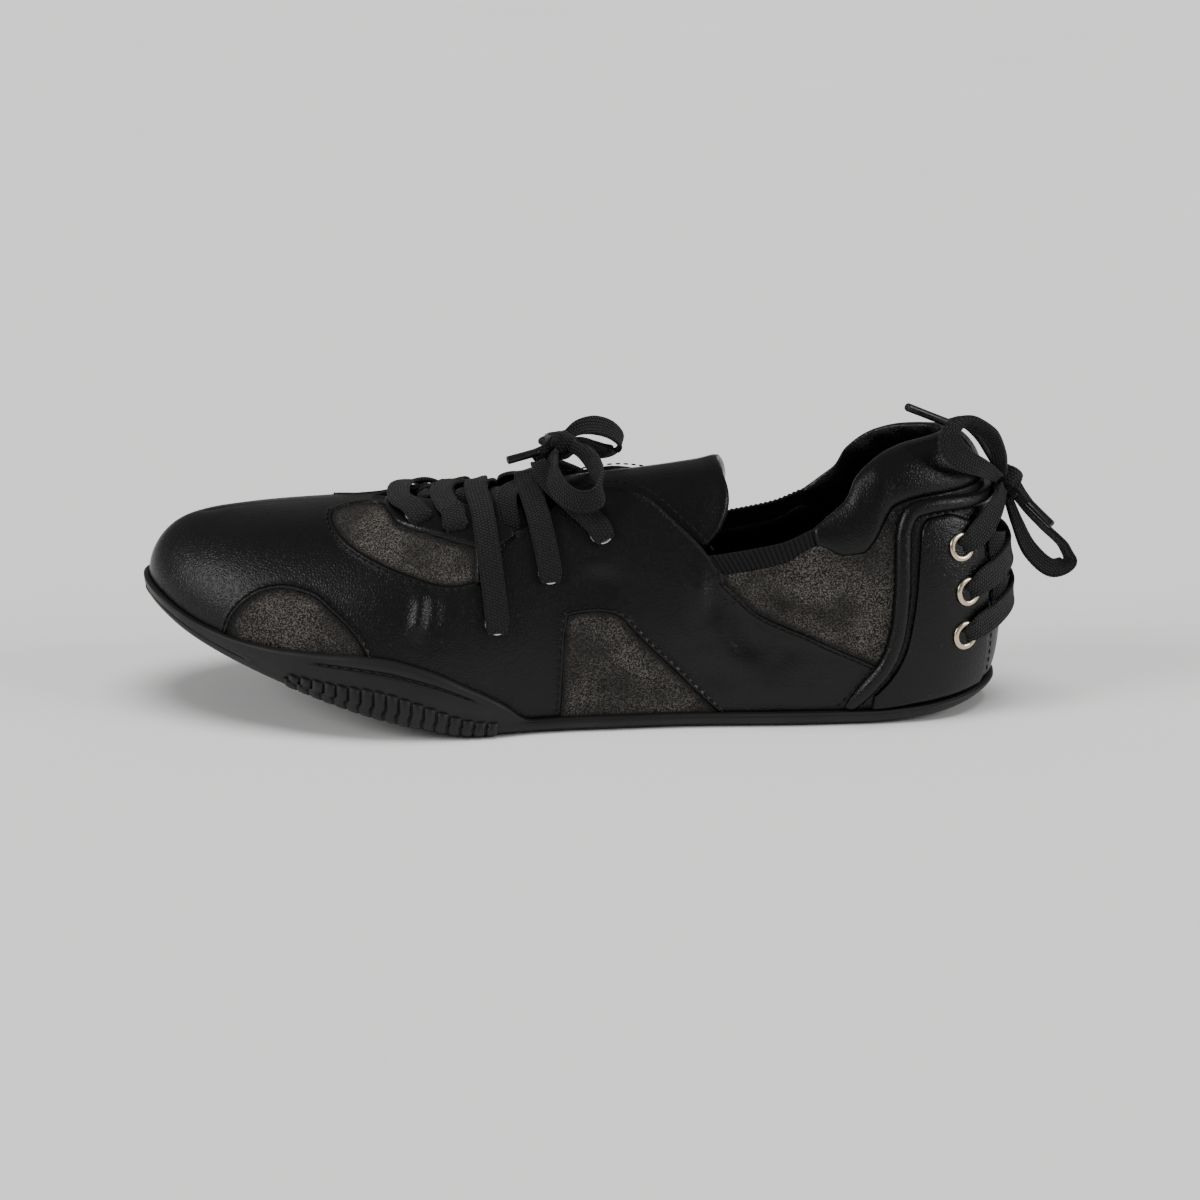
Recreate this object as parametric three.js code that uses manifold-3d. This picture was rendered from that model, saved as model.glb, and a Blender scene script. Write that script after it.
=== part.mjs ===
// Low lace-up leather shoe, left foot, laced over the instep and again around the heel.
// Millimetres. Toe towards -X, heel towards +X, outer side towards -Y, Z up, floor at z = 0.

import * as THREE from 'three';
import Module from 'manifold-3d';

const wasm = await Module();
wasm.setup();

// Driving sizes
const LENGTH = 263.5; // lasted edge, back of the heel to the tip of the toe
const BALL_HALF = 42.5; // half of the width of the lasted edge at the ball
const CREST_HEIGHT = 91.5; // top of the last over the heel
const SOLE_THICK = 4; // rubber under the foot
const WALL = 1.8; // leather and lining of the upper
const GAP = 0.3; // clearance between pieces that touch on the real shoe
const OVERLAY = 1; // thickness of a leather panel sewn on the upper
const LACE_WIDE = 7;
const LACE_THICK = 1.4;
const TONGUE_THICK = 2;
const INSOLE_THICK = 2.2;
const LASTED_EDGE = 9; // leather turned in under the foot
const EYELET_OUTER = 4.4; // radius of the flange
const EYELET_BORE = 2.6; // radius of the hole in the metal
const HEEL_X = 129.25; // back of the lasted edge, so that the box is centred on the origin
const CENTRE_Y = 1.05;

// Along the last, from heel (s = 0) to toe (s = 1), in shares of LENGTH, BALL_HALF and CREST_HEIGHT.
// mid and half give the plan, foot the height of the lasted edge, square the corner of the section,
// bulge how far the side swells past the lasted edge.
const LAST = [
  { s: 0.00, mid: 0.000, half: 0.640, foot: 0.100, square: 2.80, bulge: 0.106 },
  { s: 0.05, mid: 0.000, half: 0.650, foot: 0.070, square: 2.80, bulge: 0.100 },
  { s: 0.10, mid: 0.000, half: 0.660, foot: 0.052, square: 2.80, bulge: 0.090 },
  { s: 0.15, mid: -0.010, half: 0.690, foot: 0.0437, square: 2.75, bulge: 0.078 },
  { s: 0.25, mid: -0.035, half: 0.712, foot: 0.0437, square: 2.60, bulge: 0.060 },
  { s: 0.36, mid: -0.070, half: 0.697, foot: 0.0437, square: 2.45, bulge: 0.048 },
  { s: 0.48, mid: -0.112, half: 0.735, foot: 0.0437, square: 2.32, bulge: 0.050 },
  { s: 0.60, mid: -0.115, half: 0.870, foot: 0.0437, square: 2.20, bulge: 0.066 },
  { s: 0.68, mid: -0.070, half: 0.965, foot: 0.0810, square: 2.20, bulge: 0.075 },
  { s: 0.75, mid: -0.010, half: 1.005, foot: 0.1340, square: 2.15, bulge: 0.075 },
  { s: 0.82, mid: 0.035, half: 1.000, foot: 0.1980, square: 2.10, bulge: 0.070 },
  { s: 0.90, mid: 0.070, half: 0.990, foot: 0.2780, square: 2.05, bulge: 0.061 },
  { s: 0.95, mid: 0.085, half: 0.970, foot: 0.3340, square: 2.00, bulge: 0.052 },
  { s: 1.00, mid: 0.115, half: 0.960, foot: 0.4040, square: 2.00, bulge: 0.047 },
];
// Height of the crest of the last, in shares of CREST_HEIGHT, over the share of LENGTH where it lies.
const CREST = [
  { s: 0.13, top: 1.000 },
  { s: 0.20, top: 0.973 },
  { s: 0.30, top: 0.902 },
  { s: 0.40, top: 0.858 },
  { s: 0.50, top: 0.820 },
  { s: 0.60, top: 0.770 },
  { s: 0.68, top: 0.732 },
  { s: 0.76, top: 0.705 },
  { s: 0.85, top: 0.683 },
  { s: 0.90, top: 0.667 },
  { s: 0.93, top: 0.650 },
];
const CREST_BACK = 0.13; // where the crest starts and ends, shares of LENGTH
const CREST_FRONT = 0.93;
const HEEL_ROUND = 0.12; // share of LENGTH that rounds the heel
const TOE_ROUND = 0.70; // share of LENGTH where the toe starts to round
const TOE_POWER = 2.2;

// Edge of the upper at the collar, elastic, wing and throat: v is the share of the section from the
// lasted edge (0) to the crest (1).
const TOPLINE = [
  { s: 0.000, v: 0.486 },
  { s: 0.080, v: 0.492 },
  { s: 0.110, v: 0.482 },
  { s: 0.126, v: 0.450 },
  { s: 0.142, v: 0.408 },
  { s: 0.158, v: 0.384 },
  { s: 0.178, v: 0.386 },
  { s: 0.207, v: 0.420 },
  { s: 0.249, v: 0.386 },
  { s: 0.318, v: 0.372 },
  { s: 0.339, v: 0.455 },
  { s: 0.363, v: 0.545 },
  { s: 0.393, v: 0.672 },
  { s: 0.433, v: 0.742 },
  { s: 0.470, v: 0.735 },
  { s: 0.515, v: 0.650 },
  { s: 0.554, v: 0.600 },
  { s: 0.585, v: 0.705 },
  { s: 0.631, v: 0.815 },
  { s: 0.680, v: 0.885 },
  { s: 0.720, v: 0.940 },
  { s: 0.755, v: 1.000 },
];
// Rim of the padded collar and top edge of the elastic band, in the same terms.
const PAD_RIM = [
  { s: 0.000, v: 0.706 },
  { s: 0.050, v: 0.700 },
  { s: 0.084, v: 0.676 },
  { s: 0.119, v: 0.630 },
  { s: 0.140, v: 0.592 },
  { s: 0.161, v: 0.532 },
  { s: 0.178, v: 0.508 },
  { s: 0.207, v: 0.468 },
];
const ELASTIC_TOP = [
  { s: 0.207, v: 0.468 },
  { s: 0.249, v: 0.441 },
  { s: 0.318, v: 0.428 },
];
const PAD_END = 0.207;
const ELASTIC_END = 0.318;
const ELASTIC_LEAN = 0.014; // how much further forward the band ends at its top edge
// Upper edge of the heel counter: it follows the roll that frames it.
const COUNTER_TOP = [
  { s: 0.022, v: 0.395 },
  { s: 0.033, v: 0.412 },
  { s: 0.056, v: 0.440 },
  { s: 0.075, v: 0.440 },
  { s: 0.087, v: 0.420 },
  { s: 0.098, v: 0.340 },
  { s: 0.107, v: 0.240 },
  { s: 0.117, v: 0.145 },
  { s: 0.130, v: 0.090 },
  { s: 0.150, v: 0.040 },
];
// Middle of the heel roll, from the sole on the outer side up to the middle of the back.
const ROLL = [
  { s: 0.174, v: 0.022 },
  { s: 0.158, v: 0.060 },
  { s: 0.139, v: 0.118 },
  { s: 0.128, v: 0.180 },
  { s: 0.120, v: 0.280 },
  { s: 0.114, v: 0.370 },
  { s: 0.106, v: 0.430 },
  { s: 0.092, v: 0.462 },
  { s: 0.072, v: 0.468 },
  { s: 0.045, v: 0.462 },
  { s: 0.020, v: 0.452 },
  { s: 0.000, v: 0.448 },
];
const ROLL_WIDE = 4.4;
const ROLL_HIGH = 2.2;
// Lower edge of the smooth facing that holds the two front lace holes.
const FACING_LOW = [
  { s: 0.556, v: 0.585 },
  { s: 0.585, v: 0.545 },
  { s: 0.613, v: 0.575 },
  { s: 0.637, v: 0.608 },
  { s: 0.661, v: 0.640 },
  { s: 0.682, v: 0.670 },
  { s: 0.707, v: 0.720 },
  { s: 0.719, v: 0.790 },
  { s: 0.733, v: 0.880 },
];
// Lace holes: five at the throat from the toe back, three at the heel from the top down.
const THROAT_HOLES = [
  { s: 0.680, v: 0.745, on: 'facing' },
  { s: 0.631, v: 0.693, on: 'facing' },
  { s: 0.589, v: 0.302, on: 'upper' },
  { s: 0.525, v: 0.420, on: 'upper' },
  { s: 0.453, v: 0.515, on: 'upper' },
];
const HEEL_HOLES = [
  { s: 0.050, v: 0.357 },
  { s: 0.048, v: 0.255 },
  { s: 0.052, v: 0.158 },
];
// Height of the rubber side wall above the lasted edge, in shares of SOLE_THICK.
const BUMPER = [
  { s: 0.00, high: 0.20 },
  { s: 0.545, high: 0.20 },
  { s: 0.583, high: 1.60 },
  { s: 0.622, high: 2.60 },
  { s: 0.659, high: 3.30 },
  { s: 0.694, high: 3.50 },
  { s: 0.735, high: 3.20 },
  { s: 0.800, high: 2.10 },
  { s: 0.850, high: 1.10 },
  { s: 0.910, high: 0.25 },
  { s: 1.00, high: 0.20 },
];
// Top of the ribs above the lasted edge, same shares.
const RIB_TOP = [
  { s: 0.585, high: 0.45 },
  { s: 0.622, high: 0.80 },
  { s: 0.657, high: 1.30 },
  { s: 0.709, high: 1.80 },
  { s: 0.762, high: 1.30 },
  { s: 0.830, high: 0.50 },
];
const RIBS = 17;
const RIB_FIRST = 0.590;
const RIB_LAST = 0.824;
const RIB_WIDE = 2;
const RIB_PROUD = 1;
const EDGE_THICK = 1.5; // rubber outside the upper behind the ball
const BUMPER_THICK = 2.4;

// Smooth value of a table's column, without overshoot between its rows.
function pick(rows, s, column) {
  let i = 0;
  while (i < rows.length - 2 && s > rows[i + 1].s) i += 1;
  const slope = (k) => (rows[k + 1][column] - rows[k][column]) / (rows[k + 1].s - rows[k].s);
  const tangent = (k) => {
    if (k === 0) return slope(0);
    if (k === rows.length - 1) return slope(k - 1);
    const before = slope(k - 1);
    const after = slope(k);
    return before * after <= 0 ? 0 : (2 * before * after) / (before + after);
  };
  const a = rows[i];
  const b = rows[i + 1];
  const wide = b.s - a.s;
  const t = Math.min(Math.max((s - a.s) / wide, 0), 1);
  const t2 = t * t;
  const t3 = t2 * t;
  return (2 * t3 - 3 * t2 + 1) * a[column] + (t3 - 2 * t2 + t) * wide * tangent(i)
    + (3 * t2 - 2 * t3) * b[column] + (t3 - t2) * wide * tangent(i + 1);
}

// A place on the last is (u, v). u runs once round it: 0 at the heel, up to 1 at the toe along the
// outer side, on to 2 at the heel again along the inner side.
const share = (u) => (1 - Math.cos(Math.PI * u)) / 2;
const turn = (s, inner) => {
  const u = Math.acos(1 - 2 * s) / Math.PI;
  return inner ? 2 - u : u;
};

function halfWidth(s) {
  let round = 1;
  if (s < HEEL_ROUND) round = Math.sqrt(Math.max(0, 1 - ((HEEL_ROUND - s) / HEEL_ROUND) ** 2));
  if (s > TOE_ROUND) {
    round = Math.sqrt(Math.max(0, 1 - ((s - TOE_ROUND) / (1 - TOE_ROUND)) ** TOE_POWER));
  }
  return BALL_HALF * pick(LAST, s, 'half') * round;
}

const footHeight = (x) => CREST_HEIGHT * pick(LAST, (HEEL_X - x) / LENGTH, 'foot');

function feather(u) {
  const s = share(u);
  const side = Math.sin(Math.PI * u) >= 0 ? -1 : 1;
  const x = HEEL_X - LENGTH * s;
  const y = CENTRE_Y + BALL_HALF * pick(LAST, s, 'mid') + side * halfWidth(s);
  return new THREE.Vector3(x, y, footHeight(x));
}

function crest(s) {
  const along = CREST_BACK + (CREST_FRONT - CREST_BACK) * s;
  return new THREE.Vector3(
    HEEL_X - LENGTH * along,
    CENTRE_Y + BALL_HALF * pick(LAST, along, 'mid'),
    CREST_HEIGHT * pick(CREST, along, 'top'),
  );
}

function surface(u, v) {
  const s = share(u);
  const low = feather(u);
  const high = crest(s);
  const n = pick(LAST, s, 'square');
  const angle = (v * Math.PI) / 2;
  const corner = (Math.cos(angle) ** n + Math.sin(angle) ** n) ** (1 / n);
  const out = v >= 1 ? 0 : Math.cos(angle) / corner;
  const up = Math.sin(angle) / corner;
  const reach = Math.hypot(low.x - high.x, low.y - high.y);
  const swell = BALL_HALF * pick(LAST, s, 'bulge') * Math.sin(Math.PI * Math.sqrt(Math.min(v, 1)));
  const k = out + swell / reach;
  return new THREE.Vector3(
    high.x + (low.x - high.x) * k,
    high.y + (low.y - high.y) * k,
    low.z + (high.z - low.z) * up,
  );
}

// Outward direction; at the crest it depends on s only, so that both sides meet in one point.
function outward(u, v) {
  const step = 0.004;
  if (v > 0.999) {
    const s = share(u);
    const along = crest(Math.min(s + step, 1)).sub(crest(Math.max(s - step, 0))).normalize();
    const up = new THREE.Vector3(0, 0, 1);
    return up.addScaledVector(along, -up.dot(along)).normalize();
  }
  const w = Math.min(Math.max(v, 0.02), 0.985);
  const across = surface(u + step, w).sub(surface(u - step, w));
  const rise = surface(u, w + step).sub(surface(u, w - step));
  return rise.cross(across).normalize();
}

const lasted = (u, v, off) => surface(u, v).addScaledVector(outward(u, v), off);

// Share v where the section stands a given height above the lasted edge.
function levelAt(u, high) {
  const s = share(u);
  const g = high / (crest(s).z - feather(u).z);
  const n = pick(LAST, s, 'square');
  return (2 / Math.PI) * Math.atan((1 / g ** n - 1) ** (-1 / n));
}

// v moved along the section by a distance.
function moved(u, v, distance) {
  const step = 0.005;
  const long = surface(u, v + step).distanceTo(surface(u, v - step));
  return v + (distance * 2 * step) / long;
}

// Point of the sheet under the foot, inset from the lasted edge, with a height above the foot line.
function floor(u, inset, high) {
  const low = feather(u);
  const mid = crest(share(u));
  const inward = new THREE.Vector3(mid.x - low.x, mid.y - low.y, 0);
  const reach = inward.length();
  const p = low.clone().addScaledVector(inward, Math.min(inset / reach, 1));
  p.z = footHeight(p.x) + high;
  return p;
}
const toMiddle = (u) => {
  const low = feather(u);
  const mid = crest(share(u));
  return Math.hypot(mid.x - low.x, mid.y - low.y);
};

// One closed solid out of loose triangles: corners that coincide are joined.
function solid(triangles) {
  const places = new Map();
  const points = [];
  const index = [];
  const grid = 2000;
  const corner = (p) => {
    const key = [p.x, p.y, p.z].map((c) => Math.round(c * grid)).join();
    if (!places.has(key)) {
      places.set(key, points.length / 3);
      points.push(p.x, p.y, p.z);
    }
    return places.get(key);
  };
  for (const [a, b, c] of triangles) {
    const ids = [corner(a), corner(b), corner(c)];
    if (new Set(ids).size === 3) index.push(...ids);
  }
  let volume = 0;
  for (let i = 0; i < index.length; i += 3) {
    const [a, b, c] = [0, 1, 2].map((k) => new THREE.Vector3().fromArray(points, 3 * index[i + k]));
    volume += a.dot(b.cross(c));
  }
  if (volume < 0) {
    for (let i = 0; i < index.length; i += 3) [index[i], index[i + 1]] = [index[i + 1], index[i]];
  }
  const geometry = new THREE.BufferGeometry();
  geometry.setAttribute('position', new THREE.Float32BufferAttribute(points, 3));
  geometry.setIndex(index);
  geometry.computeVertexNormals();
  return geometry;
}

const quad = (a, b, c, d) => [[a, b, c], [a, c, d]];

// Slab on the last: place(a, b) gives (u, v) for a and b in 0..1, over and under give its offsets.
function slab(place, over, under, na, nb) {
  const top = [];
  const bottom = [];
  for (let i = 0; i <= na; i += 1) {
    top.push([]);
    bottom.push([]);
    for (let j = 0; j <= nb; j += 1) {
      const [u, v] = place(i / na, j / nb);
      top[i].push(lasted(u, v, over(i / na, j / nb)));
      bottom[i].push(lasted(u, v, under(i / na, j / nb)));
    }
  }
  const triangles = [];
  for (let i = 0; i < na; i += 1) {
    for (let j = 0; j < nb; j += 1) {
      triangles.push(...quad(top[i][j], top[i][j + 1], top[i + 1][j + 1], top[i + 1][j]));
      triangles.push(...quad(bottom[i][j], bottom[i + 1][j], bottom[i + 1][j + 1], bottom[i][j + 1]));
    }
    triangles.push(...quad(top[i][0], top[i + 1][0], bottom[i + 1][0], bottom[i][0]));
    triangles.push(...quad(top[i + 1][nb], top[i][nb], bottom[i][nb], bottom[i + 1][nb]));
  }
  for (let j = 0; j < nb; j += 1) {
    triangles.push(...quad(top[0][j + 1], top[0][j], bottom[0][j], bottom[0][j + 1]));
    triangles.push(...quad(top[na][j], top[na][j + 1], bottom[na][j + 1], bottom[na][j]));
  }
  return solid(triangles);
}

// Solid swept round the last: each place on the loop has one profile, closed where ring is true.
function around(turns, profile, ring) {
  const rings = turns.map(profile);
  const triangles = [];
  for (let k = 0; k < rings.length; k += 1) {
    const a = rings[k];
    const b = rings[(k + 1) % rings.length];
    const last = ring ? a.length : a.length - 1;
    for (let j = 0; j < last; j += 1) {
      const j2 = (j + 1) % a.length;
      triangles.push(...quad(a[j], a[j2], b[j2], b[j]));
    }
  }
  return solid(triangles);
}

// Places from heel to toe that all pieces share: even ones and the corners of the edge tables.
const EVEN_TURNS = 30;
const corners = [...TOPLINE.slice(1).map((row) => row.s), 0.60].map((s) => turn(s, false));
const evenTurns = Array.from({ length: EVEN_TURNS + 1 }, (_, i) => i / EVEN_TURNS);
const clear = (u) => corners.every((k) => Math.abs(k - u) > 0.45 / EVEN_TURNS);
const outerTurns = [...evenTurns.filter((u) => u === 0 || u === 1 || clear(u)), ...corners]
  .sort((a, b) => a - b);
const turns = [...outerTurns, ...outerTurns.slice(1, -1).map((u) => 2 - u).reverse()];
const between = (from, to) => {
  const low = turn(from, false);
  const high = turn(to, false);
  const middle = outerTurns.filter((u) => u > low + 0.002 && u < high - 0.002);
  return [low, ...middle, high];
};

// Manifold joins and cuts.
function toManifold(geometry) {
  const position = geometry.getAttribute('position');
  const mesh = new wasm.Mesh({
    numProp: 3,
    vertProperties: new Float32Array(position.array),
    triVerts: new Uint32Array(geometry.getIndex().array),
  });
  return new wasm.Manifold(mesh);
}
function fromManifold(manifold) {
  const mesh = manifold.getMesh();
  const geometry = new THREE.BufferGeometry();
  geometry.setAttribute('position', new THREE.Float32BufferAttribute(Array.from(mesh.vertProperties), 3));
  geometry.setIndex(Array.from(mesh.triVerts));
  geometry.computeVertexNormals();
  return geometry;
}
function welded(geometry) {
  const position = geometry.getAttribute('position');
  const index = geometry.getIndex();
  const count = index ? index.count : position.count;
  const at = (i) => new THREE.Vector3().fromBufferAttribute(position, index ? index.getX(i) : i);
  const triangles = [];
  for (let i = 0; i < count; i += 3) triangles.push([at(i), at(i + 1), at(i + 2)]);
  return solid(triangles);
}
// The largest body of the result, without the slivers that a join can leave.
const largest = (manifold) => manifold.decompose().sort((a, b) => b.volume() - a.volume())[0];
const join = (list) => fromManifold(largest(list.map(toManifold).reduce((a, b) => a.add(b))));
function cut(geometry, tools) {
  const left = tools.map(toManifold).reduce((a, b) => a.subtract(b), toManifold(geometry));
  return fromManifold(largest(left));
}

// Flat lace along a route. Each step has a place and the direction that its width runs in; the ends
// named in gather are drawn together, as where a lace enters a knot.
function ribbon(places, widths, gather) {
  const route = new THREE.CatmullRomCurve3(places, false, 'centripetal');
  const across = new THREE.CatmullRomCurve3(widths, false, 'centripetal');
  const count = (places.length - 1) * 2;
  const rings = [];
  for (let i = 0; i <= count; i += 1) {
    const t = i / count;
    const at = route.getPoint(t);
    const along = route.getTangent(t);
    const wide = across.getPoint(t);
    wide.addScaledVector(along, -wide.dot(along)).normalize();
    const face = new THREE.Vector3().crossVectors(along, wide);
    const start = gather.includes('start') ? Math.min(1, 0.45 + 2.2 * t) : 1;
    const end = gather.includes('end') ? Math.min(1, 0.45 + 2.2 * (1 - t)) : 1;
    const half = (LACE_WIDE / 2) * start * end;
    const high = LACE_THICK / 2;
    const corner = (x, z) => at.clone().addScaledVector(wide, x).addScaledVector(face, z);
    rings.push([
      corner(half, 0), corner(half * 0.8, high), corner(-half * 0.8, high),
      corner(-half, 0), corner(-half * 0.8, -high), corner(half * 0.8, -high),
    ]);
  }
  return capped(rings);
}

// Rings of points joined into a closed solid; each end is a fan about its own centre.
function capped(rings, centres) {
  const triangles = [];
  const n = rings[0].length;
  for (let i = 0; i < rings.length - 1; i += 1) {
    for (let j = 0; j < n; j += 1) {
      const k = (j + 1) % n;
      triangles.push(...quad(rings[i][j], rings[i][k], rings[i + 1][k], rings[i + 1][j]));
    }
  }
  const mean = (ring) => ring.reduce((sum, p) => sum.add(p), new THREE.Vector3()).divideScalar(n);
  const first = rings[0];
  const last = rings[rings.length - 1];
  const [low, high] = centres || [mean(first), mean(last)];
  for (let j = 0; j < n; j += 1) {
    const k = (j + 1) % n;
    triangles.push([low, first[k], first[j]], [high, last[j], last[k]]);
  }
  return solid(triangles);
}

// Solid of turning, set on the last with its axis along the outward direction.
function seated(profile, sides, u, v, off) {
  const lathe = welded(new THREE.LatheGeometry(profile.map(([r, h]) => new THREE.Vector2(r, h)), sides));
  const up = outward(u, v);
  const turned = new THREE.Quaternion().setFromUnitVectors(new THREE.Vector3(0, 1, 0), up);
  const place = lasted(u, v, off);
  lathe.applyMatrix4(new THREE.Matrix4().compose(place, turned, new THREE.Vector3(1, 1, 1)));
  return lathe;
}

const colour = {
  leather: [0x1b1b1d, 0.52, 0],
  rubber: [0x19191a, 0.6, 0],
  lining: [0x141416, 0.7, 0],
  elastic: [0x1c1c1e, 0.85, 0],
  lace: [0x1a1a1c, 0.9, 0],
  metal: [0xb9ab95, 0.3, 1],
  steel: [0xb8b8ba, 0.3, 1],
  tip: [0x202023, 0.35, 0],
};
const shoe = new THREE.Group();
shoe.name = 'lace_up_shoe';
function add(name, geometry, look) {
  const [color, roughness, metalness] = colour[look];
  const mesh = new THREE.Mesh(geometry, new THREE.MeshStandardMaterial({ color, roughness, metalness }));
  mesh.name = name;
  shoe.add(mesh);
}

// Outsole: a slab under the foot with an upturned side wall, then its ribs.
// Heights above the lasted edge that sole and upper share, so that their facets lie side by side.
const EDGE_ROWS = [0.12, 0.45, 1.1, 2.1, 3.5];
const bumperHigh = (s) => SOLE_THICK * pick(BUMPER, s, 'high');
const wallThick = (s) => {
  const t = Math.min(bumperHigh(s) / (2 * SOLE_THICK), 1);
  return EDGE_THICK + (BUMPER_THICK - EDGE_THICK) * t;
};
const WALL_SHAPE = [
  { up: 1.00, thick: 0.50 },
  { up: 0.92, thick: 0.95 },
  { up: 0.80, thick: 1.00 },
  { up: 0.74, thick: 0.62 },
  { up: 0.68, thick: 1.00 },
  { up: 0.15, thick: 1.05 },
];
function soleProfile(u) {
  const s = share(u);
  const high = bumperHigh(s);
  const thick = wallThick(s);
  const middle = toMiddle(u);
  const points = [floor(u, middle, -GAP), floor(u, LASTED_EDGE + GAP, -GAP), floor(u, -GAP, -GAP)];
  const edges = EDGE_ROWS.map((row) => Math.min(row * SOLE_THICK, high));
  for (const row of [...edges, high]) points.push(lasted(u, levelAt(u, row), GAP));
  for (const { up, thick: part } of WALL_SHAPE) {
    points.push(lasted(u, levelAt(u, high * up), GAP + thick * part));
  }
  points.push(floor(u, -GAP - thick - 1, -SOLE_THICK * 0.3));
  points.push(floor(u, -thick * 0.4, -SOLE_THICK * 0.85));
  points.push(floor(u, 2.5, -SOLE_THICK), floor(u, middle, -SOLE_THICK));
  return points;
}
function rib(s, inner) {
  const high = SOLE_THICK * pick(RIB_TOP, s, 'high');
  const lean = RIB_WIDE / 2 / LENGTH;
  const thick = GAP + wallThick(s) + RIB_PROUD;
  const low = (point) => {
    point.z = Math.max(point.z, SOLE_THICK * 0.06);
    return point;
  };
  const ends = [-lean, lean].map((shift) => turn(s + shift, inner));
  const centres = ends.map((u) => floor(u, -2, -SOLE_THICK * 0.5));
  const rings = ends.map((u) => {
    return [
      lasted(u, levelAt(u, high), thick - 0.4),
      lasted(u, levelAt(u, high * 0.35), thick),
      floor(u, -thick - 0.9, -SOLE_THICK * 0.1),
      low(floor(u, -thick * 0.7, -SOLE_THICK * 0.8)),
      low(floor(u, 1, -SOLE_THICK * 1.15)),
      low(floor(u, 6, -SOLE_THICK * 1.15)),
      floor(u, 6, -SOLE_THICK * 0.6),
      floor(u, -1, -SOLE_THICK * 0.3),
      lasted(u, levelAt(u, Math.min(high * 0.4, 0.6)), GAP + 0.9),
      lasted(u, levelAt(u, high * 0.6), GAP + 0.9),
    ];
  });
  return capped(rings, centres);
}
const ribs = [];
for (let i = 0; i < RIBS; i += 1) {
  const s = RIB_FIRST + ((RIB_LAST - RIB_FIRST) * i) / (RIBS - 1);
  ribs.push(rib(s, false), rib(s, true));
}
add('outsole', join([around(turns, soleProfile, false), ...ribs]), 'rubber');

// Insole: it lies inside the lasted edge and steps down to the rubber in the middle.
add('insole', around(turns, (u) => {
  const middle = toMiddle(u);
  const edge = WALL + GAP + 0.4;
  const step = LASTED_EDGE + GAP;
  const lie = WALL + GAP;
  return [
    floor(u, middle, lie + INSOLE_THICK), floor(u, step, lie + INSOLE_THICK),
    floor(u, edge, lie + INSOLE_THICK), floor(u, edge, lie), floor(u, step, lie),
    floor(u, step, 0), floor(u, middle, 0),
  ];
}, false), 'lining');

// Upper: outer and inner face, lasted edge, and a rim wherever the section stays open.
const OUTER_ROWS = 10;
const INNER_ROWS = 8;
const THROAT_FRONT = TOPLINE[TOPLINE.length - 1].s;
const topline = (s) => (s > THROAT_FRONT - 1e-6 ? 1 : pick(TOPLINE, s, 'v'));
function upperGeometry() {
  const rings = turns.map((u) => {
    const top = topline(share(u));
    const points = [floor(u, 0, 0)];
    for (const row of EDGE_ROWS) points.push(lasted(u, levelAt(u, row * SOLE_THICK), 0));
    const bend = levelAt(u, EDGE_ROWS[EDGE_ROWS.length - 1] * SOLE_THICK);
    const rest = OUTER_ROWS - EDGE_ROWS.length;
    for (let j = 1; j <= rest; j += 1) points.push(lasted(u, bend + (top - bend) * (j / rest), 0));
    const start = levelAt(u, WALL * 1.4);
    for (let j = INNER_ROWS; j >= 0; j -= 1) {
      const v = start + (top - start) * (j / INNER_ROWS);
      points.push(lasted(u, v, -WALL));
    }
    points.push(floor(u, WALL * 0.9, WALL), floor(u, LASTED_EDGE, WALL), floor(u, LASTED_EDGE, 0));
    return { points, shut: top >= 1 };
  });
  const triangles = [];
  for (let k = 0; k < rings.length; k += 1) {
    const a = rings[k];
    const b = rings[(k + 1) % rings.length];
    for (let j = 0; j < a.points.length; j += 1) {
      const j2 = (j + 1) % a.points.length;
      if (!(j === OUTER_ROWS && a.shut && b.shut)) {
        triangles.push(...quad(a.points[j], a.points[j2], b.points[j2], b.points[j]));
      }
    }
  }
  return solid(triangles);
}

// Holes for the lace, cut through what each eyelet sits on.
const HOLE = EYELET_BORE + 0.5;
const bore = (u, v) => seated([[0, -6], [HOLE, -6], [HOLE, 6], [0, 6]], 10, u, v, 0);
const throatBores = [];
const facingBores = { outer: [], inner: [] };
const counterBores = { outer: [], inner: [] };
for (const side of ['outer', 'inner']) {
  for (const { s, v, on } of THROAT_HOLES) {
    const tool = bore(turn(s, side === 'inner'), v);
    throatBores.push(tool);
    if (on === 'facing') facingBores[side].push(tool);
  }
  for (const { s, v } of HEEL_HOLES) {
    const tool = bore(turn(s, side === 'inner'), v);
    throatBores.push(tool);
    counterBores[side].push(tool);
  }
}
add('upper', cut(upperGeometry(), throatBores), 'leather');

// Tongue: it lies under the throat and curls at its rear edge.
const TONGUE_REAR = [
  { s: 0.00, back: 0.335 },
  { s: 0.10, back: 0.312 },
  { s: 0.30, back: 0.290 },
  { s: 0.60, back: 0.276 },
  { s: 1.00, back: 0.250 },
];
const TONGUE_SIDE = 0.45;
const TONGUE_FRONT = 0.79;
const TONGUE_DROP = 0.8; // below the inside of the upper
add('tongue', slab((a, b) => {
  const inner = b > 0.5;
  const up = 1 - Math.abs(2 * b - 1);
  const back = pick(TONGUE_REAR, up, 'back');
  const s = TONGUE_FRONT + (back - TONGUE_FRONT) * a;
  const narrow = TONGUE_SIDE + 0.2 * (1 - a);
  return [turn(s, inner), narrow + (1 - narrow) * up];
}, () => -WALL - TONGUE_DROP, () => -WALL - TONGUE_DROP - TONGUE_THICK, 14, 16), 'leather');

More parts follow.
